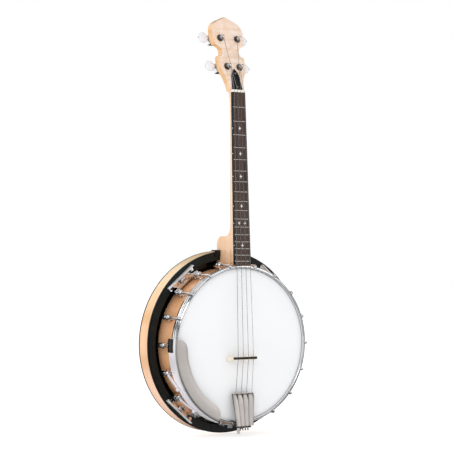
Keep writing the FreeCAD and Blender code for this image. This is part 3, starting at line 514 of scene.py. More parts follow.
def lacquer(name, colour, rough=(0.3, 0.42), coat=0.2, specular=0.5):
    """Smooth coloured plastic or lacquer with faint orange peel and dust."""
    n = Nodes(name)
    cloud = n.noise(n.place((55, 55, 55)), 1.0, 4.0)
    peel = n.noise(n.place((900, 900, 900)), 1.0, 2.0)
    base = n.mix(n.ramp(cloud, 0.4, 0.75), colour[:3] + (1,), shade(colour, 1.3))
    n.set(Base_Color=base, Roughness=n.ramp(cloud, 0.3, 0.7, rough[0], rough[1]))
    n.set(Coat_Weight=coat, Coat_Roughness=0.12, Specular_IOR_Level=specular)
    n.bump(peel, 0.00002, 0.35)
    return n.material


def pearl(name, colour):
    """Pearloid: folded clouds of cool and warm white under a clear gloss."""
    n = Nodes(name)
    where = n.place((75, 75, 75))
    fold = n.noise(where, 1.0, 3.0, 0.5, 1.6)
    flake = n.add("ShaderNodeTexVoronoi", {"Vector": where, "Scale": 1.4}).outputs["Distance"]
    base = n.mix(n.ramp(fold, 0.35, 0.65), shade(colour, 0.93), shade(colour, 1.05))
    base = n.mix(n.ramp(flake, 0.1, 0.8, 0.0, 0.35), base, (0.78, 0.80, 0.86, 1))
    n.set(Base_Color=base, Roughness=n.ramp(fold, 0.3, 0.7, 0.16, 0.3), Coat_Weight=0.7, Coat_Roughness=0.05)
    n.bump(fold, 0.00003, 0.2)
    return n.material


def drumhead(name, colour):
    """Frosted white plastic: a fine sprayed coat, slightly thinner in places."""
    n = Nodes(name)
    spray = n.noise(n.place((1400, 1400, 1400)), 1.0, 3.0, 0.7)
    cloud = n.noise(n.place((9, 9, 9)), 1.0, 3.0, 0.5)
    base = n.mix(n.ramp(cloud, 0.35, 0.7), colour[:3] + (1,), tinted(colour, 0.975, 0.98, 0.99))
    base = n.mix(n.ramp(spray, 0.55, 0.75, 0.0, 0.25), base, shade(colour, 0.94))
    n.set(Base_Color=base, Roughness=n.ramp(spray, 0.3, 0.7, 0.42, 0.58), Specular_IOR_Level=0.4)
    n.bump(spray, 0.00004, 0.5)
    return n.material


# Tints by height in metres in the row frame. The neck's turn more golden up the peghead. The
# resonator side's are painted light and shade: palest at the top, lighter and pinker at the
# bottom, darker and more orange between.
NECK_TONES = [(-0.35, (1.0, 0.93, 0.91)), (-0.05, (1.0, 0.97, 0.94)), (0.02, (0.97, 0.86, 0.70)),
              (0.12, (1.0, 0.84, 0.62))]
SIDE_PAINTED_LIGHT = [(-0.65, (1.0, 0.90, 1.0)), (-0.56, (1.0, 0.83, 0.86)), (-0.47, (0.98, 0.78, 0.64)),
              (-0.40, (1.0, 0.84, 0.66)), (-0.33, (1.0, 1.0, 0.92))]


def made_materials():
    """Every finish by name: the record's slots, and the few that only some pieces have."""
    look = bpy.context.scene.banjo_finish
    wood, side, back, peg = (tuple(c) for c in (look.maple, look.side_maple, look.back_maple,
                                                look.peghead_maple))
    return {
        "body_maple": maple("Neck and rim maple", wood, figure=0.22),
        "neck_maple": maple("Neck maple", tuple(look.neck_maple), figure=0.16, height_stops=NECK_TONES),
        "side_maple": maple("Resonator side maple", side, (5, 110, 5), (60, 6, 60), 0.16, 0.2,
                            inside={"radius": 0.1652}, height_stops=SIDE_PAINTED_LIGHT),
        "back_maple": maple("Resonator back maple", back, (5, 40, 95), (85, 9, 7), 0.4, 0.18,
                            inside={"depth": BACK_FRONT + 0.0006}),
        "flamed_maple": maple("Flamed peghead maple", peg, (140, 60, 7), (10, 8, 150), 0.5, 0.2),
        "bridge_maple": maple("Bridge maple", (0.94, 0.85, 0.70), (10, 120, 120), (90, 9, 9), 0.1, 0.4),
        "dark_rosewood": rosewood("Fingerboard rosewood", tuple(look.rosewood)),
        "charcoal_satin": lacquer("Charcoal satin lacquer", tuple(look.charcoal), (0.26, 0.38), 0.0, 0.17),
        "black_plastic": lacquer("Black plastic", (0.006, 0.006, 0.007), (0.18, 0.3), 0.05, 0.18),
        "ebony": rosewood("Ebony cap", (0.012, 0.009, 0.008)),
        # The armrest's wall and the brackets' outer lips carry a painted highlight past these radii.
        "armrest_metal": walled_metal("Armrest nickel", tuple(look.satin), (0.93, 0.91, 0.95), 0.1494,
                                      (0.32, 0.42)),
        "bracket_chrome": walled_metal("Bracket chrome", tuple(look.chrome), (0.92, 0.92, 0.94), 0.1597,
                                       (0.05, 0.13)),
        "pearl": pearl("Inlay pearl", (0.80, 0.79, 0.76)),
        "bone_white": lacquer("White bone", (0.82, 0.79, 0.70), (0.3, 0.45), 0.1),
        "nickel_silver": metal("Fret wire", (0.72, 0.70, 0.66), (0.16, 0.28)),
        "frosted_head": drumhead("Frosted head", tuple(look.head)),
        "ring_brass": metal("Tone ring plating", (0.80, 0.74, 0.62), (0.12, 0.24)),
        "bright_chrome": metal("Bright chrome", tuple(look.chrome), (0.04, 0.12), 0.02, (60, 60, 60)),
        "dark_chrome": metal("Black chrome", (0.17, 0.155, 0.14), (0.08, 0.2), 0.2),
        "satin_nickel": metal("Satin nickel", tuple(look.satin), (0.30, 0.42), 0.35, (70, 900, 900)),
        "plain_steel": metal("Plain steel", (0.42, 0.42, 0.43), (0.2, 0.34)),
        "button_pearl": pearl("Button pearl", (0.84, 0.84, 0.87)),
    }


MATERIALS = {}


def finish_for(name):
    """A finish by its name; all of them are made at the first call."""
    if not MATERIALS:
        MATERIALS.update(made_materials())
    return MATERIALS[name]


# ---- settings ---------------------------------------------------------------
def colour_property(name, description, default):
    """A colour setting with a swatch in the panel."""
    return bpy.props.FloatVectorProperty(name=name, description=description, default=default,
                                         subtype="COLOR", size=3, min=0.0, max=1.0)


class BanjoFinish(bpy.types.PropertyGroup):
    """Colours of the banjo's woods, metals and head."""
    maple: colour_property("Rim maple", "Varnished maple of the pot's rim", (0.95, 0.53, 0.29))
    neck_maple: colour_property("Neck maple", "Varnished maple of the neck", (0.95, 0.69, 0.45))
    side_maple: colour_property("Side maple", "Maple of the resonator's side", (0.96, 0.74, 0.50))
    back_maple: colour_property("Back maple", "Maple of the resonator's back", (0.74, 0.46, 0.24))
    peghead_maple: colour_property("Peghead maple", "Figured veneer on the peghead", (0.91, 0.75, 0.645))
    rosewood: colour_property("Rosewood", "Fingerboard", (0.058, 0.035, 0.026))
    charcoal: colour_property("Charcoal", "Front ring of the resonator", (0.011, 0.013, 0.012))
    head: colour_property("Head", "Frosted coating of the head", (0.86, 0.865, 0.875))
    chrome: colour_property("Chrome", "Hoop, hooks, shoes and brackets", (0.86, 0.86, 0.87))
    satin: colour_property("Satin nickel", "Armrest and tailpiece", (0.75, 0.70, 0.67))


class BanjoStage(bpy.types.PropertyGroup):
    """Camera and lights."""
    lens: bpy.props.FloatProperty(name="Lens", description="Camera's focal length", default=129.03,
                                  min=20.0, max=400.0, subtype="DISTANCE_CAMERA")
    key: bpy.props.FloatProperty(name="Key light", description="Power of the soft light on the left",
                                 default=20.0, min=0.0, max=500.0, subtype="POWER")
    fill: bpy.props.FloatProperty(name="Fill light", description="Power of the soft light on the right",
                                  default=5.0, min=0.0, max=500.0, subtype="POWER")
    surround: bpy.props.FloatProperty(name="Surround", description="Brightness of the room all round",
                                      default=0.80, min=0.0, max=4.0)


# ---- stage ------------------------------------------------------------------
# Place in metres, angles in degrees, sensor in millimetres.
CAMERA_PLACE = (-1.69800, -2.49238, -0.27348)
CAMERA_YAW = 34.022
CAMERA_PITCH = 0.2996
CAMERA_ROLL = 0.6581
SENSOR = 36.0
FLOOR_RADIUS, FLOOR_GAP = 9.0, 0.0015
LIGHT_TARGET = (0.0, 0.0, -0.35)
KEY_PLACE, KEY_SIZE = (-2.2, -2.0, 1.3), 1.6
FILL_PLACE, FILL_SIZE = (2.2, -1.8, 0.5), 1.8
# (rise of the direction, brightness) for soft light; then the cards that only reflections see, by rise
# and by heading in radians.
SOFT_BANDS = [(-1.0, 0.55), (-0.1, 0.7), (0.1, 0.85), (0.45, 1.1), (1.0, 1.25)]
CARD_HEIGHTS = [(-1.0, 0.10), (-0.62, 0.16), (-0.50, 0.75), (-0.40, 0.75), (-0.33, 0.06), (-0.20, 0.06),
                (-0.15, 1.0), (0.15, 1.0), (0.20, 0.12), (0.27, 0.12), (0.33, 1.2), (0.62, 1.2), (0.67, 0.08),
                (0.76, 0.08), (0.80, 1.1), (1.0, 0.9)]
CARD_HEADINGS = [(-3.1, 1.0), (-2.3, 1.1), (-2.15, 0.10), (-1.9, 0.10), (-1.75, 1.1), (-1.35, 1.0),
                 (-1.2, 0.08), (-0.95, 0.08), (-0.8, 1.1), (-0.45, 1.1), (-0.33, 0.06), (-0.05, 0.06),
                 (0.15, 0.9), (0.95, 0.95), (1.1, 0.05), (1.6, 0.06), (1.75, 1.1), (2.3, 1.0), (2.5, 0.15),
                 (2.8, 0.15), (3.1, 1.0)]


def make_camera(settings):
    """A camera on the bass side: its level axes are turned by yaw, pitch and then a small roll."""
    yaw, pitch, roll = (math.radians(a) for a in (CAMERA_YAW, CAMERA_PITCH, CAMERA_ROLL))
    ahead = Vector((math.sin(yaw) * math.cos(pitch), math.cos(yaw) * math.cos(pitch), math.sin(pitch)))
    level = Vector((math.cos(yaw), -math.sin(yaw), 0.0))
    upright = level.cross(ahead)
    right = level * math.cos(roll) + upright * math.sin(roll)
    up = upright * math.cos(roll) - level * math.sin(roll)
    data = bpy.data.cameras.new("Camera")
    data.lens, data.sensor_width, data.clip_end = settings.lens, SENSOR, 100.0
    camera = linked("Camera", data)
    turn = Matrix((right, up, -ahead)).transposed().to_4x4()
    camera.matrix_world = Matrix.Translation(CAMERA_PLACE) @ turn
    bpy.context.scene.camera = camera


def make_light(name, place, size, power):
    """A round soft light that faces the middle of the object."""
    data = bpy.data.lights.new(name, "AREA")
    data.shape, data.size, data.energy = "DISK", size, power
    light = linked(name, data)
    light.location = place
    light.rotation_mode = "QUATERNION"
    light.rotation_quaternion = (Vector(LIGHT_TARGET) - Vector(place)).to_track_quat("-Z", "Y")


def banded(tree, value, low, high, stops):
    """A grey that runs through (position, brightness) stops as a value goes from low to high."""
    spread = tree.nodes.new("ShaderNodeMapRange")
    spread.inputs["From Min"].default_value = low
    spread.inputs["From Max"].default_value = high
    tree.links.new(value, spread.inputs["Value"])
    ramp = tree.nodes.new("ShaderNodeValToRGB")
    tree.links.new(spread.outputs["Result"], ramp.inputs["Fac"])
    fill_ramp(ramp, low, high, [(position, (grey, grey, grey)) for position, grey in stops])
    return ramp.outputs["Color"]


def make_surround(strength):
    """A white room: soft light from all round, with dark cards that only polished parts reflect."""
    world = bpy.data.worlds.new("Room")
    world.use_nodes = True
    bpy.context.scene.world = world
    tree = world.node_tree
    nodes, links = tree.nodes, tree.links
    split = nodes.new("ShaderNodeSeparateXYZ")
    links.new(nodes.new("ShaderNodeTexCoord").outputs["Generated"], split.inputs["Vector"])
    heading = nodes.new("ShaderNodeMath")
    heading.operation = "ARCTAN2"
    links.new(split.outputs["X"], heading.inputs[0])
    turned = nodes.new("ShaderNodeMath")
    turned.operation = "MULTIPLY"
    turned.inputs[1].default_value = -1.0
    links.new(split.outputs["Y"], turned.inputs[0])
    links.new(turned.outputs[0], heading.inputs[1])
    soft = nodes["Background"]
    links.new(banded(tree, split.outputs["Z"], -1.0, 1.0, SOFT_BANDS), soft.inputs["Color"])
    soft.inputs["Strength"].default_value = strength
    cards = nodes.new("ShaderNodeMix")
    cards.data_type, cards.blend_type = "RGBA", "MULTIPLY"
    cards.inputs[0].default_value = 1.0
    links.new(banded(tree, split.outputs["Z"], -1.0, 1.0, CARD_HEIGHTS), cards.inputs[6])
    links.new(banded(tree, heading.outputs[0], -math.pi, math.pi, CARD_HEADINGS), cards.inputs[7])
    path = nodes.new("ShaderNodeLightPath")
    last = soft.outputs["Background"]
    for name, colour in (("Is Glossy Ray", cards.outputs[2]), ("Is Camera Ray", None)):
        seen = nodes.new("ShaderNodeBackground")
        seen.inputs["Color"].default_value = (1, 1, 1, 1)
        if colour is not None:
            links.new(colour, seen.inputs["Color"])
        choose = nodes.new("ShaderNodeMixShader")
        links.new(path.outputs[name], choose.inputs["Fac"])
        links.new(last, choose.inputs[1])
        links.new(seen.outputs["Background"], choose.inputs[2])
        last = choose.outputs["Shader"]
    links.new(last, nodes["World Output"].inputs["Surface"])


def make_floor():
    """A pale disc under the object that gives off its own light and isn't seen in reflections."""
    level = CAD_LOW[2] - FLOOR_GAP
    angle = round_angles(96)
    rim = np.stack([FLOOR_RADIUS * np.cos(angle), FLOOR_RADIUS * np.sin(angle), 0 * angle + level], -1)
    mesh = bpy.data.meshes.new("Floor")
    mesh.from_pydata(rim.tolist(), [], [list(range(len(rim)))])
    n = Nodes("Pale floor")
    cloud = n.noise(n.place((1.5, 1.5, 1.5)), 1.0, 3.0)
    n.set(Base_Color=n.mix(cloud, (0.42, 0.42, 0.42, 1), (0.44, 0.44, 0.44, 1)), Roughness=0.9)
    n.set(Emission_Color=(1, 1, 1, 1), Emission_Strength=0.74)
    mesh.materials.append(n.material)
    floor = linked("Floor", mesh)
    floor.visible_glossy = False


class BANJO_OT_stage(bpy.types.Operator):
    """Make the camera, lights, surround and floor"""
    bl_idname = "banjo.stage"
    bl_label = "Stage"

    def execute(self, context):
        settings = context.scene.banjo_stage
        context.scene.view_settings.view_transform = "Standard"
        make_camera(settings)
        make_surround(settings.surround)
        make_floor()
        make_light("Key light", KEY_PLACE, KEY_SIZE, settings.key)
        make_light("Fill light", FILL_PLACE, FILL_SIZE, settings.fill)
        return {"FINISHED"}


# Carried-over parts whose finish isn't the plain one of their slot.
SPECIAL_FINISH = {"neck": "neck_maple", "peghead_screws": "dark_chrome"}


class BANJO_OT_finish_frame(bpy.types.Operator):
    """Give every carried-over part its finish"""
    bl_idname = "banjo.finish_frame"
    bl_label = "Finish the frame's parts"

    def execute(self, context):
        for name, node in NODES.items():
            if node.hide_render:
                continue
            node.data.materials.clear()
            node.data.materials.append(finish_for(SPECIAL_FINISH.get(name, SLOTS[name])))
        return {"FINISHED"}


# ---- pot hardware -----------------------------------------------------------
def make_hoop():
    """The tension hoop: a (radius, depth) outline with a raised lip inside, a flat ledge for the hooks
    and a groove round its wall, with eased corners, turned a full circle."""
    profile = [(140.1, 8.2), (140.1, -5.0), (141.0, -5.7), (142.1, -5.7), (143.2, -4.4), (145.0, -4.0),
               (145.4, -3.2), (145.4, 0.4), (144.6, 1.1), (144.6, 2.3), (145.4, 3.0), (145.4, 8.2)]
    add_piece("tension_hoop_turned", lathe(profile, 288, 0.45), "bright_chrome", "tension_hoop")


def make_hooks():
    """Each hook is a round rod that bends over at the hoop and is beaten flat: a path in the plane
    through the pot's axis, whose round section grows wide and thin along the bent end."""
    bend_radius = 3.0
    turn = np.radians(np.linspace(0, 90, 9))
    bend = np.stack([0 * turn, -2.6 - bend_radius * np.sin(turn),
                     HOOK_CIRCLE - bend_radius + bend_radius * np.cos(turn)], -1)
    rod = np.stack([np.zeros(6), np.linspace(50.8, -1.2, 6), np.full(6, HOOK_CIRCLE)], -1)
    tab = np.stack([np.zeros(4), [-5.6, -5.65, -5.6, -5.45], [144.6, 143.8, 143.1, 142.9]], -1)
    path = np.concatenate([rod, bend, tab])
    stops = [0, 1, 5, 9, 14, 17, 18]
    width = np.interp(np.arange(len(path)), stops, [1.7, 2.1, 2.1, 2.3, 2.7, 2.7, 2.2])
    thick = np.interp(np.arange(len(path)), stops, [1.7, 2.1, 2.1, 1.8, 1.25, 1.1, 0.7])
    hook = swept(path, circle(1.0, 14), up=(1, 0, 0), scale=np.stack([thick, width], -1))
    add_piece("bracket_hooks_bent", turned_to(hook, HOOK_ANGLES), "bright_chrome", "bracket_hooks")


def make_shoes():
    """Each shoe is a ball cut flat where the hook goes through, on a waisted stem with a round foot:
    an arc turned about the hook, and a radius that changes along the stem turned about the stem."""
    ball_radius, ball_depth = 6.3, 30
    tilt = np.radians(np.linspace(-56, 56, 17))
    ball = np.stack([ball_radius * np.cos(tilt), ball_radius * np.sin(tilt)], -1)
    ball = np.concatenate([[[2.3, -4.4], [3.0, -5.3]], ball, [[3.0, 5.3], [2.3, 4.4]]])
    stem = [(4.3, 139.45), (4.4, 140.2), (4.1, 141.0), (3.3, 141.5), (3.0, 142.2), (3.3, 143.6), (3.8, 146)]
    shoe = joined([spun(ball, 32, (0, 1, 0), (0, ball_depth, HOOK_CIRCLE)),
                   spun(stem, 24, (0, 0, 1), (0, ball_depth, 0))])
    add_piece("bracket_shoes_round", turned_to(shoe, HOOK_ANGLES), "bright_chrome", "bracket_shoes")


def hexagon(across):
    """Six corners at equal angles, a width across the flats apart, each eased by half a millimetre."""
    angle = np.radians(np.arange(0, 360, 60))
    return rounded(np.stack([np.cos(angle), np.sin(angle)], -1) * across / math.sqrt(3), 0.5, 2)


def make_nuts():
    """Long hexagonal nuts, a hexagon carried back through layers that round both ends. They sit
    lower down where a bracket's ear lies in front."""
    length, plain_front, ear_front = 9.6, 36.6, 39.4
    parts = []
    for angle in HOOK_ANGLES:
        front = ear_front if abs(angle) in EAR_ANGLES else plain_front
        points, faces = plate(hexagon(8.0), edge_layers(front, front + length, 0.8))
        parts.append(turned_to((points + [0, 0, HOOK_CIRCLE], faces), angle))
    add_piece("bracket_nuts_chamfered", joined(parts), "bright_chrome", "bracket_nuts")


def make_thumbscrews():
    """Each thumbscrew has a domed head whose edge is fluted: a (radius, depth) outline is turned
    about the screw, and where the radius is that of the edge it is scaled by a wave of the angle."""
    profile = np.array([(0.4, 41.0), (3.2, 40.7), (4.0, 40.9), (4.5, 41.6), (5.5, 41.4), (6.1, 41.9),
                        (6.4, 42.8), (6.4, 45.6), (6.0, 46.4), (4.5, 46.5), (4.3, 47.3), (2.4, 47.4),
                        (2.4, 61.8), (1.9, 62.4)])
    edge_from, flutes, flute_depth = 6.0, 20, 0.06
    angle = round_angles(96)[None, :]
    wave = 1.0 - flute_depth * (0.5 + 0.5 * np.cos(flutes * angle))
    r, y = profile[:, 0][:, None], profile[:, 1][:, None]
    r = np.where(r > edge_from, r * wave, r + 0 * angle)
    points = np.stack([r * np.cos(angle), y + 0 * angle, THUMBSCREW_CIRCLE + r * np.sin(angle)], -1)
    for index, place in enumerate(BRACKET_ANGLES):
        name = "thumbscrew_%d" % (index + 1)
        add_piece(name + "_fluted", turned_to(shell(points), place), "bright_chrome", name, name)


# ---- strings, tailpiece and tuners ------------------------------------------
def string_path(index):
    """A string's bends: on its tailpiece leaf, the leaf's end, bridge, nut and side of its post."""
    x, s = TUNER_POSTS[POST_OF_STRING[index]]
    step = STRING_STEPS[index]
    inner = 1 if x < 0 else -1
    peg = PEG_AT + PEG_AXES @ np.array([x + inner * 3.8, 0, 0]) + s * PEG_AXES[:, 2] - 1.6 * PEG_AXES[:, 1]
    nut = NUT_AT + NECK_AXES @ np.array([NUT_SPACING * step, -1.15, 2.2])
    tail = TAIL_AT + TAIL_AXES @ np.array([TAIL_SPACING * step, -0.5, 62.5])
    pin = TAIL_AT + TAIL_AXES @ np.array([TAIL_SPACING * step + 2.0, 0.4, 50.0])
    return np.array([pin, tail, [BRIDGE_SPACING * step, -17.65, -23.75], nut, peg])


def make_strings():
    """Each string is a round wire along its bends, then wound round its post in a helix: equal turns
    with a steady rise."""
    coil_radius, coil_turns, coil_pitch = 3.75, 4.0, 0.5
    turn = np.linspace(0, coil_turns * TAU, 97)
    parts = []
    for index, radius in enumerate(STRING_RADII):
        x, s = TUNER_POSTS[POST_OF_STRING[index]]
        bends = string_path(index)
        runs = [np.linspace(bends[k], bends[k + 1], 6) for k in range(4)]
        parts += [swept(run, circle(radius, 8), up=(1, 0.1, 0)) for run in runs]
        start = 0.0 if x < 0 else math.pi
        helix = np.stack([x + coil_radius * np.cos(start + turn), 2.3 - coil_pitch * turn / TAU,
                          s + coil_radius * np.sin(start + turn)], -1)
        parts.append(on_peghead(swept(helix, circle(0.3, 8), up=(0, 1, 0))))
    add_piece("strings_wound", joined(parts), "plain_steel", "strings")


def make_tailpiece():
    """Four long leaves side by side, each cut away in a drop-shaped slot beside its string, and
    rolled over at the string end. The slot's half width rises and falls along the leaf; the leaf's
    height is an arch across it plus a dip and a rise, both squares of the way along. A narrow strip
    closes the right edge, and a dark plate under the slots is painted shade, standing in for the
    shade deep in them."""
    s = np.concatenate([np.linspace(0.4, 42, 9), np.linspace(43, 61.5, 26)])
    slot = 0.35 + 2.9 * np.clip((s - 45) / 11, 0, 1) ** 1.1 * np.clip((59.4 - s) / 1.2, 0, 1)
    thickness, joint_gap = 1.3, 0.3
    # Places of the leaves' edges at the hinge and at the string end.
    ends = [(-17.6, -23.2), (-8.6, -13.9), (0.0, -1.9), (8.6, 10.1), (17.3, 21.4)]
    lines = [low + (high - low) * (s + 3) / 64.0 for low, high in ends]
    across = np.linspace(0, 1, 7)[None, :]
    arch = -0.5 * (1 - (2 * across - 1) ** 2)
    dip = 1.3 * np.clip((s - 57.0) / 2.4, 0, 1)[:, None] ** 2
    rise = 3.4 * np.clip((s - 59.2) / 2.3, 0, 1)[:, None] ** 2
    along = s[:, None] + 0 * across
    parts = []
    for index in range(4):
        left = lines[index] + (joint_gap if index else 0.0)
        right = lines[index + 1] - slot * (1.0 if index < 3 else 0.4)
        x = left[:, None] + (right - left)[:, None] * across
        top = np.stack([x, arch - dip + rise, along], -1)
        under = top[:, ::-1] + [0, thickness, 0]
        parts.append(shell(np.concatenate([top, under], 1)))
    inner, outer = lines[4] + 0.2, lines[4] + 1.9 - 0.6 * (s < 20)
    x = np.stack([inner, outer, outer, inner], -1)
    depth = np.array([-0.3, -0.1, 1.4, 1.4])[None, :] + 1.2 * np.clip((s - 57) / 3.5, 0, 1)[:, None]
    parts.append(shell(np.stack([x, depth, s[:, None] + 0 * x], -1)))
    # Painted shade: a dark plate under the slots stands in for the shade deep in them.
    shade_plate_outline = np.array([[-15.5, 34.0], [15.5, 34.0], [20.4, 60.4], [-21.6, 60.4]])
    shade_plate = plate(rounded(shade_plate_outline, 0.6), edge_layers(1.75, 2.6, 0.25))
    add_piece("tailpiece_painted_shade", placed(shade_plate, TAIL_AXES, TAIL_AT), "dark_chrome", "tailpiece_frame")
    add_piece("tailpiece_leaves", placed(joined(parts), TAIL_AXES, TAIL_AT), "satin_nickel",
              "tailpiece_fingers", sharp=50.0)


def make_tuner_tops():
    """Bushings: (radius, depth) outlines of a washer, a raised collar and a sleeve turned round each
    post, and a hexagonal cap carried back through layers that round its rims."""
    washer = [(3.2, 4.0), (5.4, 3.1), (6.4, 3.3), (6.8, 3.9), (6.8, 4.45)]
    collar = [(3.15, 0.6), (3.9, 0.4), (4.2, 0.8), (4.2, 1.4)]
    sleeve = [(4.55, 4.4), (4.55, 18.8)]
    parts = []
    for x, s in TUNER_POSTS:
        cap, cap_faces = plate(hexagon(9.8), edge_layers(1.2, 3.4, 0.6))
        parts += [spun(washer, 40, (0, 1, 0), (x, 0, s)), (cap + [x, 0, s], cap_faces),
                  spun(collar, 32, (0, 1, 0), (x, 0, s)), spun(sleeve, 24, (0, 1, 0), (x, 0, s))]
    add_piece("tuner_bushings_turned", on_peghead(joined(parts)), "dark_chrome", "tuner_bushings")


def make_tuners():
    """Posts turned with a waist for the string, and round pearl buttons with a crowned face: the
    button's outline is a circle whose cosine and sine are raised to powers below one."""
    post = [(0.3, -6.6), (2.3, -6.5), (2.9, -6.0), (3.0, -5.2), (2.5, -4.2), (2.25, -2.6), (2.5, -0.8),
            (3.0, 0.0), (3.0, 26.3)]
    wheel = [(1, 22.0), (4.0, 22.0), (4.0, 25.6), (1, 25.6)]
    button_out, button_deep, button_up = 24.8, 23.8, 6.8
    tilt = np.radians(np.linspace(-90, 90, 25))
    rise = np.sign(np.sin(tilt)) * np.abs(np.sin(tilt)) ** 0.9
    button = np.stack([10.2 * np.cos(tilt) ** 0.55 + 0.02, 3.9 * rise], -1)
    for index, (x, s) in enumerate(TUNER_POSTS):
        side = -1 if x < 0 else 1
        name = "string_post_%d" % (index + 1)
        turned = joined([spun(profile, 32, (0, 1, 0), (x, 0, s)) for profile in (post, wheel)])
        add_piece(name + "_turned", on_peghead(turned), "bright_chrome", name, name)
        name = "tuner_button_%d" % (index + 1)
        knob = spun(button, 64, (0, 1, 0), (x + side * button_out, button_deep, s + button_up))
        add_piece(name + "_pearl", on_peghead(knob), "button_pearl", name, name)


def make_frets():
    """Each fret is a half-round crown that drops away at both ends. Fret n lies at the scale's length
    times one less two to the power of minus n twelfths, and frets grow evenly longer down the board."""
    board_length, nut_half, growth, overhang = 320.5, 13.3, 3.65, 0.75
    reach = np.array([-1, -0.985, -0.95, -0.6, 0, 0.6, 0.95, 0.985, 1])
    drop = np.array([0.25, 0.7, 1, 1, 1, 1, 1, 0.7, 0.25])
    arch = np.radians(np.linspace(0, 180, 9))
    section = np.stack([1.1 * np.cos(arch), 1.15 * np.sin(arch)], -1)
    parts = []
    for number in range(1, FRET_COUNT + 1):
        s = -SCALE_LENGTH * (1.0 - 2.0 ** (-number / 12.0))
        half = nut_half + growth * (-s / board_length) + overhang
        points = np.stack([half * reach[:, None] + 0 * section[None, :, 0],
                           0.02 - drop[:, None] * section[None, :, 1],
                           s + section[None, :, 0] + 0 * drop[:, None]], -1)
        parts.append(shell(points))
    add_piece("frets_crowned", on_neck(joined(parts)), "nickel_silver", "frets")


def quarter_ellipse(share):
    """How far an edge pulls in, from 1 at its end to 0 where it joins the full width."""
    return 1 - np.sqrt(1 - (1 - share) ** 2)


def make_armrest():
    """A plate over the head's edge that bends down into a wall round the hoop. At each angle the
    section runs from an inner radius over the bend to the wall's foot; the inner radius and the foot
    pull in towards both ends along quarter ellipses, so the plate ends round."""
    first, last = -84.6, -158.4
    bend_from, bend_radius, bend_depth, thickness = 146.0, 5.5, -7.45, 1.15
    wall = bend_from + bend_radius
    t = 0.5 - 0.5 * np.cos(np.linspace(0, math.pi, 110))
    angle = first + (last - first) * t
    into = np.clip((first - angle) / 7.4, 0, 1)
    out_of = np.clip((angle - last) / 10.5, 0, 1)
    inner = 124.1 + 17.0 * quarter_ellipse(into) + 15.0 * quarter_ellipse(out_of)
    foot = 8.9 - 11.0 * quarter_ellipse(np.clip(into * 2.0, 0, 1)) - 9.0 * (1 - out_of) ** 2
    # (share of the way from the inner edge to the bend, depth) over the plate's face.
    face = [(0.0, -12.05), (0.03, -12.35), (0.5, -12.8), (0.94, -13.0), (1.0, -12.95)]
    plate_r = np.stack([inner + (bend_from - inner) * share for share, depth in face])
    plate_y = np.stack([0 * inner + depth for share, depth in face])
    turn = np.radians(np.linspace(12, 90, 9))[:, None]
    bend_r = bend_from + bend_radius * np.sin(turn) + 0 * inner
    bend_y = bend_depth - bend_radius * np.cos(turn) + 0 * inner
    wall_r = np.stack([0 * inner + wall, 0 * inner + wall, 0 * inner + wall - 0.15])
    wall_y = np.stack([-7.2 + 0.02 * (foot + 7.2), foot - 0.25, foot])
    r = np.concatenate([plate_r, bend_r, wall_r])
    y = np.concatenate([plate_y, bend_y, wall_y])
    back_r = np.minimum(r, wall - thickness)[::-1]
    back_y = np.concatenate([plate_y + thickness, np.maximum(bend_y, -12.0) + thickness, wall_y])[::-1]
    r, y = np.concatenate([r, back_r]), np.concatenate([y, back_y])
    a = np.radians(angle)[None, :]
    points = np.stack([r * np.sin(a), y, r * np.cos(a)], -1).transpose(1, 0, 2)
    add_piece("armrest_bent", shell(points), "armrest_metal", "armrest", sharp=28.0)


def make_bridge_cap():
    """A long cap whose top edge dips at each string: height falls by a bell curve about every notch."""
    low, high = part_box("bridge_cap")
    front, back = (low[1] - POT[1]) / MM, (high[1] - POT[1]) / MM
    bottom, top = (low[2] - POT[2]) / MM, (high[2] - POT[2]) / MM
    half = high[0] / MM
    notches = BRIDGE_SPACING * STRING_STEPS
    near_notches = (notches[:, None] + np.linspace(-1.5, 1.5, 13)).ravel()
    x = np.unique(np.concatenate([np.linspace(-half, half, 60), near_notches]))
    away = np.abs(x[:, None] - notches[None, :]).min(1)
    notch_depth, notch_width, end_drop, end_length = 1.25, 0.55, 0.5, 0.6
    dip = notch_depth * np.exp(-(away / notch_width) ** 2)
    end = end_drop * np.clip(1 - (half - np.abs(x)) / end_length, 0, 1)
    section = rounded([(front, bottom), (back, bottom), (back, top), (front, top)], 0.45)
    nearness = np.clip((back - section[:, 0]) / (back - front), 0, 1) ** 2
    y = section[:, 0][None, :] + (dip + end)[:, None] * nearness[None, :]
    z = section[:, 1][None, :] + 0 * x[:, None]
    points = np.stack([x[:, None] + 0 * y, y, z], -1)
    add_piece("bridge_cap_notched", shell(points), "ebony", "bridge_cap")


# Carried-over parts that get rounded edges: width of the rounding in millimetres, and finish.
# The tailpiece frame's black chrome is painted shade, standing in for its shaded left cheek and
# the shade under its slots.
ROUNDED = [("armrest_clamps", 0.35, "armrest_metal"), ("armrest_pad", 0.3, "black_plastic"),
           ("flange_brackets", 0.4, "bracket_chrome"), ("tailpiece_frame", 0.3, "dark_chrome"),
           ("tailpiece_hanger", 0.3, "bright_chrome"), ("bridge_base", 0.4, "bridge_maple"),
           ("truss_rod_cover", 0.4, "black_plastic"), ("nut", 0.4, "bone_white"),
           ("tuner_housings", 0.7, "bright_chrome"), ("peghead_veneer", 0.3, "flamed_maple"),
           ("fingerboard_binding", 0.15, "black_plastic")]


class BANJO_OT_hardware(bpy.types.Operator):
    """Make the hoop, hooks, shoes, nuts and thumbscrews round the pot"""
    bl_idname = "banjo.hardware"
    bl_label = "Pot hardware"

    def execute(self, context):
        make_hoop()
        make_hooks()
        make_shoes()
        make_nuts()
        make_thumbscrews()
        return {"FINISHED"}


class BANJO_OT_strings(bpy.types.Operator):
    """Make the strings, bridge cap, tailpiece's leaves and armrest"""
    bl_idname = "banjo.strings"
    bl_label = "Strings, bridge, tailpiece and armrest"

    def execute(self, context):
        make_strings()
        make_bridge_cap()
        make_tailpiece()
        make_armrest()
        return {"FINISHED"}


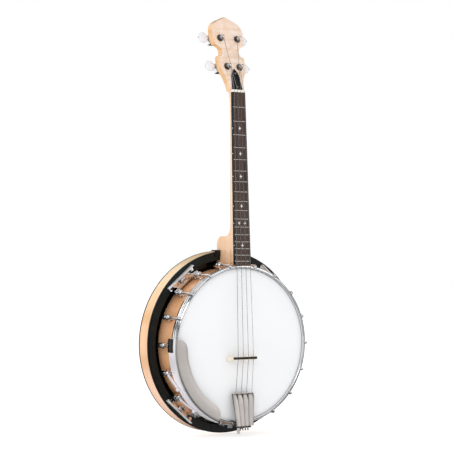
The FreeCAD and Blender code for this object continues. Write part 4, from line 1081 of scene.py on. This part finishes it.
class BANJO_OT_tuners(bpy.types.Operator):
    """Make the tuners' bushings, posts and buttons"""
    bl_idname = "banjo.tuners"
    bl_label = "Tuners"

    def execute(self, context):
        make_tuner_tops()
        make_tuners()
        return {"FINISHED"}


class BANJO_OT_frets(bpy.types.Operator):
    """Make the crowned frets"""
    bl_idname = "banjo.frets"
    bl_label = "Frets"

    def execute(self, context):
        make_frets()
        return {"FINISHED"}


class BANJO_OT_rounded(bpy.types.Operator):
    """Round the edges of the plates, castings and wooden parts"""
    bl_idname = "banjo.rounded"
    bl_label = "Rounded parts"

    def execute(self, context):
        for node, width, finish in ROUNDED:
            softened(node, width, finish)
        softened("resonator_notch_trim", 0.4, "black_plastic", "resonator")
        return {"FINISHED"}


class BANJO_PT_panel(bpy.types.Panel):
    """Buttons and settings for the banjo"""
    bl_label = "Banjo"
    bl_idname = "BANJO_PT_panel"
    bl_space_type = "VIEW_3D"
    bl_region_type = "UI"
    bl_category = "Banjo"

    def draw(self, context):
        for group in (context.scene.banjo_finish, context.scene.banjo_stage):
            box = self.layout.box()
            for key in group.__annotations__:
                box.prop(group, key)
        for operator in OPERATORS:
            self.layout.operator(operator.bl_idname)


OPERATORS = [BANJO_OT_hardware, BANJO_OT_strings, BANJO_OT_tuners, BANJO_OT_frets, BANJO_OT_rounded,
             BANJO_OT_finish_frame, BANJO_OT_stage]
GROUPS = [("banjo_finish", BanjoFinish), ("banjo_stage", BanjoStage)]


def register():
    """Registers the settings, operators and panel."""
    for key, group in GROUPS:
        bpy.utils.register_class(group)
        setattr(bpy.types.Scene, key, bpy.props.PointerProperty(type=group))
    for item in OPERATORS + [BANJO_PT_panel]:
        bpy.utils.register_class(item)


def unregister():
    """Takes them away again."""
    for item in [BANJO_PT_panel] + OPERATORS[::-1]:
        bpy.utils.unregister_class(item)
    for key, group in GROUPS:
        delattr(bpy.types.Scene, key)
        bpy.utils.unregister_class(group)


def main():
    """Builds every piece and the stage."""
    register()
    for operator in OPERATORS:
        family, action = operator.bl_idname.split(".")
        getattr(getattr(bpy.ops, family), action)()


if __name__ == "__main__":
    main()
